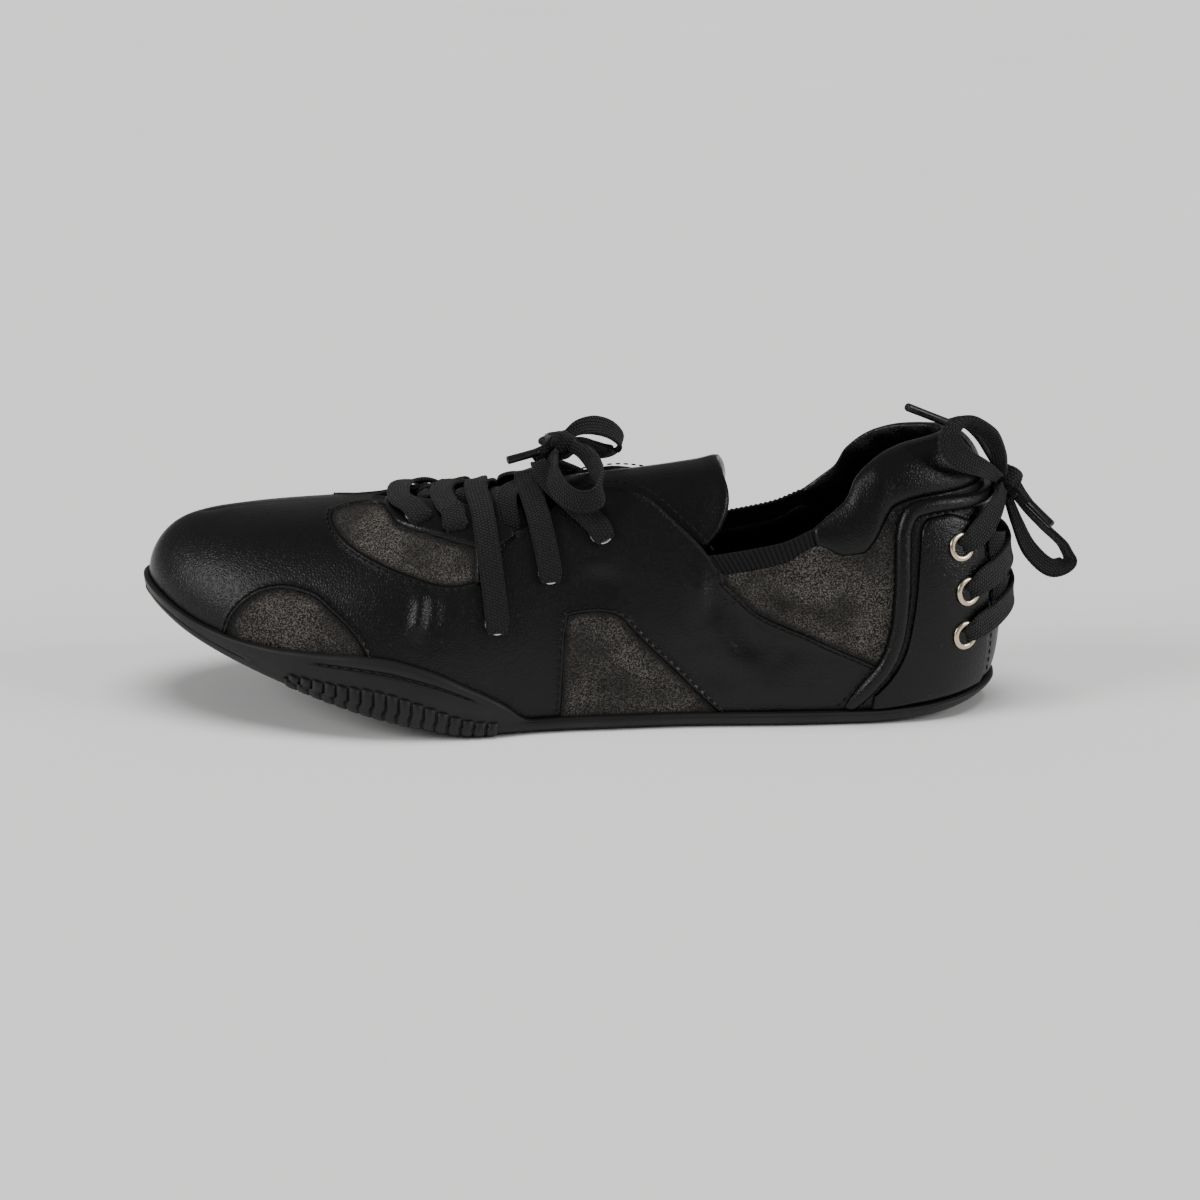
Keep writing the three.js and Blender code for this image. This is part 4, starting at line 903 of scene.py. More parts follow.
# %% Sole and side wall
SOLE_STATIONS = 420
turns = np.arange(SOLE_STATIONS) * 2 / SOLE_STATIONS
s = share(turns)
high, thick = bumper_high(s), wall_thick(s)
middle = to_middle(turns)
section = [floor_at(turns, middle, -0.1), floor_at(turns, 9.5, -0.1), floor_at(turns, 1.5, -0.1)]
for part in (0.12, 0.5, 0.8, 1.0):
    section.append(lasted(turns, level_at(turns, high * part), 0 * s + 0.05))
moulded = np.clip(np.minimum(s - GROOVE_ENDS[0], GROOVE_ENDS[1] - s) * 90, 0, 1)
for part, deep in WALL_SHAPE:
    if 0.66 < part < 0.82:
        deep = 1 - (1 - deep) * moulded
    section.append(lasted(turns, level_at(turns, high * part), thick * deep))
section += [
    floor_at(turns, -thick - 1, -SOLE_THICK * 0.12), floor_at(turns, -thick - 1, -SOLE_THICK * 0.32),
    floor_at(turns, -thick - 0.55, -SOLE_THICK * 0.55), floor_at(turns, -thick * 0.4, -SOLE_THICK * 0.85),
    floor_at(turns, 1.0, -SOLE_THICK * 0.97), floor_at(turns, 2.5, -SOLE_THICK),
]
for part in (0.3, 0.5, 0.7, 0.85, 1.0):
    section.append(floor_at(turns, middle * part, -SOLE_THICK))
rings = np.stack(section, 1)
faces = ring_faces(SOLE_STATIONS, rings.shape[1], True, False)
sole = make_piece("rubber_sole", rings.reshape(-1, 3), faces, [RUBBER])
dress(sole, ["outsole"])

# %% [markdown]
# ## Ribs
# Seventeen ribs stand on the side of the sole under the ball. They differ in height and lean with the
# edge, so each is one short section between two places. A rounded front keeps the highlights soft.

# %% Ribs on the side of the sole


def rib(s, inner):
    high = SOLE_THICK * pick(RIB_TOP, s, "high")
    lean = RIB_LEAN * (s - RIB_FIRST) / (RIB_LAST - RIB_FIRST)
    rings = []
    for angle in np.linspace(-math.pi / 2, math.pi / 2, 9):
        u = turn(s + math.sin(angle) * RIB_HALF / LENGTH, inner)
        low = turn(s + (math.sin(angle) * RIB_HALF + lean) / LENGTH, inner)
        out = wall_thick(s) + 0.1 + math.cos(angle) * 1.3
        ring = [
            lasted(u, level_at(u, high * 0.97), out - 0.9), lasted(u, level_at(u, high * 0.85), out - 0.2),
            lasted(u, level_at(u, high * 0.35), out), floor_at(low, -out - 0.9, -0.4),
            floor_at(low, -out - 0.5, -SOLE_THICK * 0.5), floor_at(low, -out * 0.62, -SOLE_THICK * 0.86),
            floor_at(low, 0.5, -SOLE_THICK * 0.98), floor_at(low, 0.5, -SOLE_THICK * 0.6),
            floor_at(u, -1.0, -SOLE_THICK * 0.3), lasted(u, level_at(u, 0.5), 0.9),
            lasted(u, level_at(u, high * 0.6), 0.9),
        ]
        rings.append(ring)
    return closed_rings(np.array(rings))


def joined(parts):
    """Points and faces of several solids in one list."""
    points, faces, start = [], [], 0
    for part_points, part_faces in parts:
        points.append(part_points)
        faces += [[k + start for k in face] for face in part_faces]
        start += len(part_points)
    return np.concatenate(points), faces


parts = [rib(s, inner) for s in np.linspace(RIB_FIRST, RIB_LAST, RIBS) for inner in (False, True)]
points, faces = joined(parts)
points[:, 2] = np.maximum(points[:, 2], 0)
ribs = make_piece("sole_ribs", points, faces, [RUBBER])
dress(ribs, [])

# %% [markdown]
# ## Insole
# A padded sheet of leather that lies on the turned-in edge and steps down in the middle.

# %% Insole
INSOLE_THICK = 2.2
turns = np.arange(200) * 2 / 200
middle = to_middle(turns)
lie = WALL + 0.1
section = [floor_at(turns, middle * part, lie + INSOLE_THICK) for part in (1.0, 0.8, 0.6, 0.4, 0.2)]
section += [
    floor_at(turns, 2.9, lie + INSOLE_THICK), floor_at(turns, 2.3, lie + INSOLE_THICK * 0.8),
    floor_at(turns, 2.2, lie + 0.1), floor_at(turns, 9.2, lie), floor_at(turns, 9.4, 0.05),
    floor_at(turns, middle, 0.05),
]
rings = np.stack(section, 1)
faces = ring_faces(200, rings.shape[1], True, False)
insole = make_piece("insole_sheet", rings.reshape(-1, 3), faces, [LINING])
dress(insole, ["insole"])

# %% [markdown]
# ## Tongue
# A soft double sheet under the throat. Its rear edge curls and its near corner hangs down, so the edge
# is a curve of its own.

# %% Tongue
TONGUE_REAR = table("s back", [
    (0.00, 0.335), (0.10, 0.312), (0.30, 0.290), (0.60, 0.276), (1.00, 0.250),
])
TONGUE_SIDE = 0.45
TONGUE_FRONT = 0.79
TONGUE_THICK = 2.0


def tongue_place(a, b):
    """Place on the last: a from front to back of the tongue, b from side to side."""
    up = 1 - np.abs(2 * b - 1)
    back = pick(TONGUE_REAR, up, "back")
    along = TONGUE_FRONT + (back - TONGUE_FRONT) * a
    narrow = TONGUE_SIDE + 0.2 * (1 - a)
    u = turn(along)
    return np.where(b > 0.5, 2 - u, u), narrow + (1 - narrow) * up


def tongue_off(a, b):
    """Height of the tongue's face, under the wall of the upper, with a soft wave."""
    wave = 0.25 * np.sin(a * 9 + b * 5) * np.sin(b * math.pi) + 0.8 * np.clip((a - 0.93) / 0.07, 0, 1) ** 2
    return -WALL - 0.8 + wave


rings = on_last(tongue_place, tongue_off, lambda a, b: tongue_off(a, b) - TONGUE_THICK, 90, 60, 0.7)
tongue = make_piece("soft_tongue", *closed_rings(rings), [LEATHER])
dress(tongue, ["tongue"])

# %% [markdown]
# ## Padded collar
# A stuffed roll of leather stands on the rear edge of the upper. It is thick low down, where it is
# sewn on, and rolls over at the rim. The section goes up the outside, over the rim and down inside.

# %% Padded collar
PAD_RIM = table("s v", [
    (0.000, 0.706), (0.050, 0.700), (0.084, 0.676), (0.119, 0.630), (0.140, 0.592), (0.161, 0.532),
    (0.178, 0.508), (0.207, 0.468),
])
PAD_END = 0.207
half = turn(PAD_END) * np.linspace(1, 0, 91)
turns = np.concatenate([half, -half[::-1][1:]]) % 2
a = np.linspace(0, 1, len(turns))
s = share(turns)
low = moved(turns, pick(TOPLINE, s, "v"), 0.1)
high = pick(PAD_RIM, s, "v")
fade = np.minimum(1, 6 * np.minimum(a, 1 - a) + 0.2)
section = []
UP = np.concatenate([np.linspace(0, 0.9, 15), [0.94, 0.97, 0.99, 1.0]])
for b in UP:
    swell = (0.9 + 2.5 * fade * math.sin(math.pi * min(b, 0.985)) ** 0.6) * math.sqrt(1 - b**10)
    pinch = 0.12 * np.sin(turns * 140 + 3 * b) * math.sin(math.pi * b) * (0.5 + 0.5 * np.sin(turns * 33))
    section.append(lasted(turns, low + (high - low) * b, -0.9 + swell + pinch))
for b in UP[::-1][1:]:
    swell = (0.9 + 2.4 * fade * math.sin(math.pi * min(b, 0.985)) ** 0.6) * math.sqrt(1 - b**10)
    fold = 0.35 * np.sin(turns * 110 + 5 * b) * math.sin(math.pi * b)
    section.append(lasted(turns, low + (high - low) * b, -0.9 - swell + fold))
rings = np.stack(section, 1)
pad = make_piece("padded_collar", *closed_rings(rings), [LEATHER])
dress(pad, ["collar_pad"])

# %% [markdown]
# ## Elastic
# A ribbed band closes the gap between collar and wing on each side. Its fine ribs run across it.

# %% Elastic bands
ELASTIC_TOP = table("s v", [(0.207, 0.468), (0.249, 0.441), (0.318, 0.428)])
ELASTIC_END = 0.318
ELASTIC_LEAN = 0.014
RIB_PITCH = 1.35
for side, inner in (("outer", False), ("inner", True)):
    def band_place(a, b, inner=inner):
        along = PAD_END - 0.003 + (ELASTIC_END + 0.006 - PAD_END) * a
        s = along + ELASTIC_LEAN * b * a
        u = turn(s, inner)
        low = moved(u, pick(TOPLINE, np.minimum(s, ELASTIC_END), "v"), -0.6)
        return u, low + (pick(ELASTIC_TOP, s, "v") - low) * b

    def band_off(a, b):
        ribs = np.sin(a * (ELASTIC_END - PAD_END) * LENGTH / RIB_PITCH * 2 * math.pi)
        return -0.25 + 0.3 * ribs + 0.25 * np.clip((b - 0.85) / 0.15, 0, 1)

    rings = on_last(band_place, band_off, lambda a, b: -1.6 + 0 * a, 220, 14, 0.4)
    band = make_piece("elastic_" + side + "_band", *closed_rings(rings), [ELASTIC])
    dress(band, ["elastic_" + side])

# %% [markdown]
# ## Facings and heel counters
# Smooth pieces of leather sewn over the upper hold the lace holes. Each is a slab on the last between
# two edges, with rounded borders.

# %% Facings
FACING_LOW = table("s v", [
    (0.556, 0.585), (0.585, 0.545), (0.613, 0.575), (0.637, 0.608), (0.661, 0.640), (0.682, 0.670),
    (0.707, 0.720), (0.719, 0.790), (0.733, 0.880),
])
for side, inner in (("outer", False), ("inner", True)):
    def facing_place(a, b, inner=inner):
        s = FACING_LOW["s"][0] + (FACING_LOW["s"][-1] - FACING_LOW["s"][0]) * a
        u = turn(s, inner)
        low = pick(FACING_LOW, s, "v")
        high = np.maximum(moved(u, topline(s), 0.3), low + 0.012)
        return u, low + (high - low) * b

    rings = on_last(facing_place, lambda a, b: 1.2 + 0 * a, lambda a, b: -0.6 + 0 * a, 60, 24, 0.9)
    facing = make_piece("facing_" + side + "_leather", *closed_rings(rings), [LEATHER])
    dress(facing, ["facing_" + side])

# %% Heel counters
COUNTER_TOP = table("s v", [
    (0.022, 0.395), (0.033, 0.412), (0.056, 0.440), (0.075, 0.440), (0.087, 0.420), (0.098, 0.340),
    (0.107, 0.240), (0.117, 0.145), (0.130, 0.090), (0.150, 0.040),
])
for side, inner in (("outer", False), ("inner", True)):
    def counter_place(a, b, inner=inner):
        first, last = turn(COUNTER_TOP["s"][0]), turn(COUNTER_TOP["s"][-1])
        u = first + (last - first) * a
        low = level_at(u, bumper_high(share(u)) + 0.6)
        high = np.maximum(pick(COUNTER_TOP, share(u), "v"), low + 0.012)
        return (2 - u if inner else u), low + (high - low) * b

    rings = on_last(counter_place, lambda a, b: 1.3 + 0 * a, lambda a, b: -0.6 + 0 * a, 70, 60, 0.9)
    counter = make_piece("counter_" + side + "_leather", *closed_rings(rings), [LEATHER])
    dress(counter, ["counter_" + side])

# %% [markdown]
# ## Heel roll
# A corded roll of leather frames both counters in one piece: from the sole up the outer side, round
# the back and down the inner side.

# %% Heel roll
ROLL = [(0.179, 0.006), (0.160, 0.060), (0.139, 0.118), (0.128, 0.180), (0.120, 0.280), (0.114, 0.370),
        (0.106, 0.430), (0.092, 0.462), (0.072, 0.468), (0.045, 0.462), (0.020, 0.452), (0.000, 0.448)]
ROLL_WIDE = 5.0
ROLL_HIGH = 2.5


def swept_on_last(path, wide, high, count):
    """Half-round bead along places (u, v) on the last."""
    line = spline(path, count)
    u, v = line[:, 0] % 2, line[:, 1]
    centre = surface(u, v)
    up = outward(u, v)
    along = unit(np.gradient(centre, axis=0))
    across = np.cross(along, up)
    reach = np.insert(np.cumsum(np.linalg.norm(np.diff(centre, axis=0), axis=1)), 0, 0)
    full = np.sqrt(np.clip(np.minimum(reach, reach[-1] - reach) / 9, 0.02, 1))[:, None]
    angle = np.linspace(0, math.pi, 11)
    ring = [(-math.cos(t) * wide / 2, math.sin(t) ** 0.8 * high) for t in angle]
    ring += [(wide / 2, -0.5), (-wide / 2, -0.5)]
    return np.stack([centre + across * full ** 0.5 * x + up * full * z for x, z in ring], 1)


path = [(float(turn(s)), v) for s, v in ROLL] + [(-float(turn(s)), v) for s, v in ROLL[-2::-1]]
rings = swept_on_last(path, ROLL_WIDE, ROLL_HIGH, 200)
roll = make_piece("heel_roll_leather", *closed_rings(rings), [LEATHER])
dress(roll, ["heel_roll"])

# %% [markdown]
# ## Lace
# The lace is flat woven cotton. A ribbon helper carries a rounded flat section along a route, with a
# direction for its width and a width at each row, and lays its UV map in millimetres, so that the
# weave has one scale. On the shoe a route is given in places on the last, in the bows in millimetres
# from the knot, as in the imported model.

# %% Ribbons
LACE_WIDE = 7.2
LACE_THICK = 1.3
LACE_SECTION = [(1.0, 0.0), (0.96, 0.75), (0.86, 1.0), (0.45, 0.86), (0.0, 0.82), (-0.45, 0.86),
                (-0.86, 1.0), (-0.96, 0.75), (-1.0, 0.0), (-0.96, -0.75), (-0.86, -1.0), (-0.45, -0.86),
                (0.0, -0.82), (0.45, -0.86), (0.86, -1.0), (0.96, -0.75)]


def ribbon(places, widths, shares, step=0.8, cup=0.0):
    """Points, faces and UV of a flat lace. shares scales its width at each row, cup bends it."""
    rows = np.asarray(places, float)
    long = float(np.sum(np.linalg.norm(np.diff(rows, axis=0), axis=1)))
    count = max(int(long / step), 12)
    line = spline(rows, count)
    along = unit(np.gradient(line, axis=0))
    wide = spline(widths, count)
    wide = unit(wide - along * np.sum(wide * along, -1, keepdims=True))
    face = np.cross(along, wide)
    knots = np.linspace(0, 1, len(rows))
    half = LACE_WIDE / 2 * np.interp(np.linspace(0, 1, count), knots, shares)
    rings, across = [], []
    for x, z in LACE_SECTION:
        bend = cup * (x * x - 0.4)
        thick = LACE_THICK / 2 * z * (1 + 0.5 * (1 - half / half.max()))
        rings.append(line + wide * (half * x)[:, None] + face * (thick + bend)[:, None])
        across.append(half * x)
    rings = np.stack(rings, 1)
    points, faces = closed_rings(rings)
    travel = np.concatenate([[0], np.cumsum(np.linalg.norm(np.diff(line, axis=0), axis=1))])
    uv = np.stack([np.repeat(travel[:, None], len(LACE_SECTION), 1), np.stack(across, 1)], -1).reshape(-1, 2)
    uv = np.concatenate([uv, [[0, 0], [travel[-1], 0]]])
    return points, faces, uv, line


def lace_piece(name, ribbons, look):
    """One mesh from several ribbons, with their UV map."""
    points, faces = joined([(r[0], r[1]) for r in ribbons])
    uv = np.concatenate([r[2] for r in ribbons])
    mesh = bpy.data.meshes.new(name)
    mesh.from_pydata((points * MM).tolist(), [], faces)
    layer = mesh.uv_layers.new(name="lace")
    corners = np.zeros(len(mesh.loops), int)
    mesh.loops.foreach_get("vertex_index", corners)
    layer.data.foreach_set("uv", uv[corners].ravel())
    mesh.materials.append(look)
    obj = bpy.data.objects.new(name, mesh)
    bpy.context.collection.objects.link(obj)
    work = bmesh.new()
    work.from_mesh(mesh)
    bmesh.ops.recalc_face_normals(work, faces=work.faces)
    work.to_mesh(mesh)
    work.free()
    mesh.shade_smooth()
    return obj


def strap(route, cup=0.25):
    """Lace on the shoe: rows of (u, v, height above the upper, share of the width)."""
    rows = np.asarray(route, float)
    u, v = rows[:, 0] % 2, rows[:, 1]
    places = lasted(u, v, rows[:, 2])
    along = unit(np.gradient(places, axis=0))
    widths = np.cross(outward(u, np.minimum(v, 0.999)), along)
    return ribbon(places, widths, rows[:, 3], cup=cup)


def mirrored(route):
    """The same route on the inner side."""
    return [(-u, v, off, wide) for u, v, off, wide in route]


# %% [markdown]
# ## Laces on the shoe
# Each crossing comes up through its hole, covers the eyelet, climbs the side and passes over the
# tongue to the edge of the throat on the other side, where it dips under. The two laces of a pair
# cross on the crest, one over the other.

# %% Throat laces
THROAT_HOLES = [(0.680, 0.745), (0.631, 0.693), (0.583, 0.304), (0.519, 0.434), (0.453, 0.540)]
ON_FACING = 1.3
CROSSINGS = [(1, 0.652, 0.676), (2, 0.602, 0.616), (3, 0.530, 0.562)]


def from_hole(hole, toward, base):
    """Rows where a lace comes out of a hole: from below its middle, over the ring, and away."""
    s, v = THROAT_HOLES[hole]
    u = float(turn(s))
    du, dv = toward
    full = 0.25 if hole < 2 else 0.05
    return [
        (u - du, v - dv, base - 1.2, 0.4 + full),
        (u - du * 1.03, v - dv * 1.03, base + 0.3, 0.65 + full),
        (u - du * 0.8, v - dv * 0.8, base + 1.05, 0.85 + full),
        (u - du * 0.2, v - dv * 0.2, base + 1.4, 1.0),
        (u + du, v + dv, base + 1.4, 1.0),
    ]


def crossing(hole, over, to, high):
    """Route from a hole over the crest to the edge of the throat on the other side."""
    s, v = THROAT_HOLES[hole]
    u, u_over, u_to = float(turn(s)), float(turn(over)), float(turn(to))
    base = ON_FACING if hole < 2 else 0.0
    edge = float(topline(s))
    lean = 0.6
    step = 0.044 if hole < 2 else 0.026
    land = float(topline(to))
    rows = from_hole(hole, ((u_over - u) * 0.3 * step / max(edge - v, 0.05), step), base)
    return rows + [
        (u + (u_over - u) * lean / 2, v + (edge - v) * 0.5, max(base + 1.1, 1.4), 1),
        (u + (u_over - u) * lean, edge, 1.5, 1), (u_over, max((edge + 1) / 2, 0.93), high, 1),
        (-u_over, 0.95, high, 1), (-u_to, (1 + land) / 2, 0.2, 1), (-u_to, land + 0.035, -1.8, 0.95),
        (-u_to, land - 0.015, -2.4, 0.9),
    ]


for number, (hole, over, to) in enumerate(CROSSINGS, 1):
    pair = [strap(crossing(hole, over, to, 1.0)), strap(mirrored(crossing(hole, over, to, -0.5)))]
    obj = lace_piece("throat_crossing_" + str(number), pair, LACE)
    dress(obj, ["throat_cross_" + str(number)])
first = float(turn(THROAT_HOLES[0][0]))
climb = [
    *from_hole(0, (0.005, 0.038), ON_FACING), (float(turn(0.703)), 0.84, 2.4, 1.0),
    (float(turn(0.712)), 0.93, 2.0, 1.0),
]
obj = lace_piece("throat_front_bar", [strap(climb + mirrored(climb)[::-1])], LACE)
dress(obj, ["throat_bar"])
to_knot = [
    *from_hole(4, (0.002, 0.024), 0.0),
    (float(turn(0.480)), 0.67, 1.8, 1), (float(turn(0.498)), 0.77, 2.4, 1),
    (float(turn(0.506)), 0.86, 3.4, 0.9), (float(turn(0.509)), 0.93, 5.2, 0.7),
]
for side, route in (("outer", to_knot), ("inner", mirrored(to_knot))):
    dress(lace_piece("throat_" + side + "_strap", [strap(route)], LACE), ["throat_lace_" + side])

# %% [markdown]
# ## Heel laces
# Three holes on each side hold a second lace. Two crossings lie over the back, and the last pair goes
# up to the knot.

# %% Heel laces
HEEL_HOLES = [(0.050, 0.357), (0.048, 0.255), (0.052, 0.158)]
HEEL_WIDE = 1.12


def heel_start(hole):
    """Place of a heel hole, and rows where the lace comes out of it."""
    s, v = HEEL_HOLES[hole]
    u = float(turn(s))
    return u, v, [(u, v - 0.004, -1.0, 0.55), (u * 0.985, v, 0.9, 0.62), (u * 0.93, v + 0.006, 2.6, 0.85),
                  (u * 0.84, v + 0.016, 2.9, HEEL_WIDE)]


def heel_crossing(hole, above, high):
    """Route from a heel hole round the back to the next hole up."""
    u, v, rows = heel_start(hole)
    rise = HEEL_HOLES[above][1] - v
    end = float(turn(0.022)) * 0.72
    return rows + [
        (u * 0.62, v + rise * 0.25, 3.0, HEEL_WIDE), (u * 0.3, v + rise * 0.4, high, HEEL_WIDE),
        (0.0, v + rise * 0.5, high, HEEL_WIDE), (-u * 0.3, v + rise * 0.62, high, HEEL_WIDE),
        (-end, v + rise * 0.74, 1.6, HEEL_WIDE), (-end * 1.25, v + rise * 0.82, 0.6, HEEL_WIDE),
    ]


for hole, above in ((2, 1), (1, 0)):
    pair = [strap(heel_crossing(hole, above, 3.6)), strap(mirrored(heel_crossing(hole, above, 2.2)))]
    dress(lace_piece("heel_crossing_" + str(hole), pair, LACE), ["heel_cross_" + str(hole)])
u, v, rows = heel_start(0)
to_heel_knot = rows + [
    (u * 0.68, v + 0.035, 3.3, HEEL_WIDE), (u * 0.5, v + 0.056, 3.9, 1.05), (u * 0.34, v + 0.075, 4.6, 0.85),
    (u * 0.2, v + 0.09, 5.2, 0.6),
]
for side, route in (("outer", to_heel_knot), ("inner", mirrored(to_heel_knot))):
    dress(lace_piece("heel_" + side + "_strap", [strap(route)], LACE), ["heel_lace_" + side])

# %% [markdown]
# ## Bows
# Each bow is a knot with two loops and two tipped ends. A loop is a free cord of fixed length, so its
# route is a given list, the same as in the imported model. The knot is lace wound round a core.

# %% Routes of the bows, from each knot, in millimetres
THROAT_KNOT = (np.array([HEEL_X - 134.4, CENTRE_Y - 1, 81.6]), np.array([4.4, 5, 3.6]))
HEEL_KNOT = (np.array([HEEL_X + 5.2, CENTRE_Y, 70]), np.array([3.4, 5, 5.2]))
LOOPS = [
    ("throat_loop_near", THROAT_KNOT, (-0.35, -0.15, 0.93), [-60, -50, -5, 35, 65], 1.0, [
        (-2, -3.6, -1), (-2.6, -11, -3.9), (-1.8, -19, -6.7), (1.2, -24.5, -9.6), (6.4, -28, -11.2),
        (11, -28, -9.9), (12.4, -24, -6.7), (10.4, -16.5, -2.9), (7, -8.6, -0.3), (2.4, -3, 0.8)]),
    ("throat_loop_far", THROAT_KNOT, (-0.67, 0.73, 0.13), [50], 1.0, [
        (1.6, 2.4, 2.6), (5.4, 5.4, 4.4), (10.6, 9.2, 4.2), (16, 13.4, 1.4), (18.6, 16.4, -2.6),
        (17, 17.6, -5.4), (13, 16.4, -5.6), (9, 12.6, -3.6), (5.4, 7.6, -0.8), (2.4, 3.4, 0.4)]),
    ("heel_loop_upper", HEEL_KNOT, (0.25, 0.93, 0.25), [65], 1.1, [
        (-2.4, -3, 3.4), (-4.6, -8, 11.2), (-9, -13, 18.6), (-15.6, -18, 22.6), (-20, -21, 21),
        (-21.2, -22, 16.8), (-17.6, -21.6, 12.2), (-10.6, -17, 8.1), (-4.2, -7, 2.8)]),
    ("heel_loop_lower", HEEL_KNOT, (0.1, 0.97, 0.2), [35], 0.9, [
        (-0.4, -2.4, -4.4), (2.4, -5, -12), (6.6, -8, -20.4), (13.4, -9, -25.8), (18.8, -7.4, -24),
        (17.6, -5, -19.8), (11.8, -3, -14.2), (6.6, -1.4, -9.2), (2.6, -0.6, -4.6)]),
]
ENDS = [
    ("throat_end_front", THROAT_KNOT, (0, 0.3, 1), [
        (-1, -1, 0), (-3, -2, 0), (-5.2, -4, -0.6), (-7.8, -5.5, -1.05)]),
    ("throat_end_near", THROAT_KNOT, (0, 0.3, 1), [
        (-0.6, -1, 2), (-1.4, -3, 3), (-2.8, -6.4, 4), (-4.1, -10.8, 4.65)]),
    ("heel_end_upper", HEEL_KNOT, (0.3, 0.9, 0.2), [
        (-1, 1, 1), (-2.6, 3, 3.6), (-6, 2.4, 9.5), (-10, 0, 15.4), (-15.5, -4, 19.8), (-20.5, -7.3, 20.1)]),
    ("heel_end_lower", HEEL_KNOT, (0.3, 0.9, 0.3), [
        (0.5, -1, 0), (2, -3, -0.6), (3.6, -5.4, -2.6), (5.7, -7.8, -5.2)]),
]
TIPS = [
    ("throat_tip_front", THROAT_KNOT, (-7.0, -5.3, -0.9), (-16.6, -8.5, -2.9)),
    ("throat_tip_near", THROAT_KNOT, (-4.0, -10.2, 4.55), (-5.6, -21, 6)),
    ("heel_tip_upper", HEEL_KNOT, (-19.8, -7.0, 19.8), (-34, -14, 26.6)),
    ("heel_tip_lower", HEEL_KNOT, (5.4, -7.5, -4.9), (12.2, -13, -11)),
]
TIP_RADIUS = 1.3


def turned(vector, axis, angle):
    """Each vector turned about its row's axis by its row's angle."""
    c, s = np.cos(angle)[:, None], np.sin(angle)[:, None]
    along = axis * np.sum(axis * vector, -1, keepdims=True)
    return vector * c + np.cross(axis, vector) * s + along * (1 - c)


def bow_ribbon(knot, rows, plane, twist, shares, cup=0.3):
    """Lace along a free route, turned by the twist along it."""
    places = knot[0] + np.asarray(rows, float)
    along = unit(np.gradient(places, axis=0))
    spread = np.interp(np.linspace(0, 1, len(rows)), np.linspace(0, 1, len(twist)), np.radians(twist))
    widths = turned(np.repeat(unit(np.array([plane], float)), len(rows), 0), along, spread)
    return ribbon(places, widths, shares, cup=cup)


def gathered(count):
    """Shares of the width along a loop, which the knot pinches at both ends."""
    t = np.linspace(0, 1, count)
    start = np.minimum(1, 0.45 + 2.2 * t)
    end = np.minimum(1, 0.45 + 2.2 * (1 - t))
    return start * end


# %% Tips


def tip_rod(knot, start, end):
    """A rolled sleeve with a seam, open at its far end by a small dimple."""
    a, b = knot[0] + np.array(start, float), knot[0] + np.array(end, float)
    axis = unit(b - a)
    side = unit(np.cross(axis, [0.3, 0.2, 1.0]))
    other = np.cross(axis, side)
    rings = []
    for t, r in ((0, 0.72), (0.01, 0.95), (0.04, 1.0), (0.5, 0.97), (0.95, 1.0), (0.985, 0.97), (1.0, 0.82),
                 (0.985, 0.55)):
        angle = np.linspace(0, 2 * math.pi, 20, endpoint=False)
        lip = TIP_RADIUS * r * (1 - 0.10 * np.exp(-((angle - 1.2) / 0.25) ** 2))
        centre = a + (b - a) * t
        rings.append(centre + side * (lip * np.cos(angle))[:, None] + other * (lip * np.sin(angle))[:, None])
    return closed_rings(np.array(rings))


tips = {}
for name, knot, start, end in TIPS:
    obj = make_piece(name + "_sleeve", *tip_rod(knot, start, end), [TIP])
    tips[name] = dress(obj, [name])

# %% Knots


def wound(knot, axis, start, laps, grow, share_wide, drift):
    """Lace wound round the core of a knot."""
    centre, radii = knot
    axis = unit(np.array(axis, float))
    side = unit(np.cross(axis, [0.1, 0.2, 1.0]))
    other = np.cross(axis, side)
    angle = start + np.linspace(0, laps * 2 * math.pi, max(int(laps * 14), 6))
    reach = np.outer(np.cos(angle), side) + np.outer(np.sin(angle), other)
    reach = reach * (radii * grow) + np.outer(np.linspace(-drift, drift, len(angle)), axis)
    return ribbon(centre + reach, np.repeat(axis[None], len(angle), 0), np.full(len(angle), share_wide),
                  step=0.6, cup=-0.35)


for name, knot, axis, second in (("throat_knot", THROAT_KNOT, (0.85, 0.35, 0.3), (0.2, 0.9, 0.5)),
                                 ("heel_knot", HEEL_KNOT, (0.35, 0.45, 0.8), (0.8, -0.2, -0.6))):
    wraps = [
        wound(knot, axis, 0.4, 1.15, 0.93, 0.88, 0.9), wound(knot, second, 2.2, 0.8, 0.80, 0.8, 1.4),
        wound(knot, np.cross(axis, second), 1.0, 0.9, 0.66, 0.9, 0.6),
    ]
    dress(lace_piece(name + "_wraps", wraps, LACE), [name])

# %% Loops and ends
for name, knot, plane, twist, wide, rows in LOOPS:
    made = bow_ribbon(knot, rows, plane, twist, gathered(len(rows)) * wide)
    obj = dress(lace_piece(name + "_lace", [made], LACE), [name])
ends = {}
for name, knot, plane, rows in ENDS:
    shares = np.linspace(0.62, 0.36, len(rows))
    if len(rows) > 4:
        shares = np.array([0.5, 0.75, 0.95, 0.9, 0.6, 0.36])
    made = bow_ribbon(knot, rows, plane, [0], shares)
    ends[name] = dress(lace_piece(name + "_lace", [made], LACE), [name])
parts = {
    "throat_loop_near": [ends["throat_end_near"], tips["throat_tip_near"]],
    "throat_loop_far": [ends["throat_end_front"], tips["throat_tip_front"]],
    "heel_loop_upper": [ends["heel_end_upper"], tips["heel_tip_upper"]],
    "heel_loop_lower": [ends["heel_end_lower"], tips["heel_tip_lower"]],
}

# %% [markdown]
# ## Eyelets
# Sixteen pressed rings hold the holes. Geometry Nodes place them: a point for each hole carries the
# outward direction, and the tree sweeps a rolled rim and a barrel, turns each copy to its direction,
# realizes the copies and sets their finish.

# %% A tree that sets rings on points


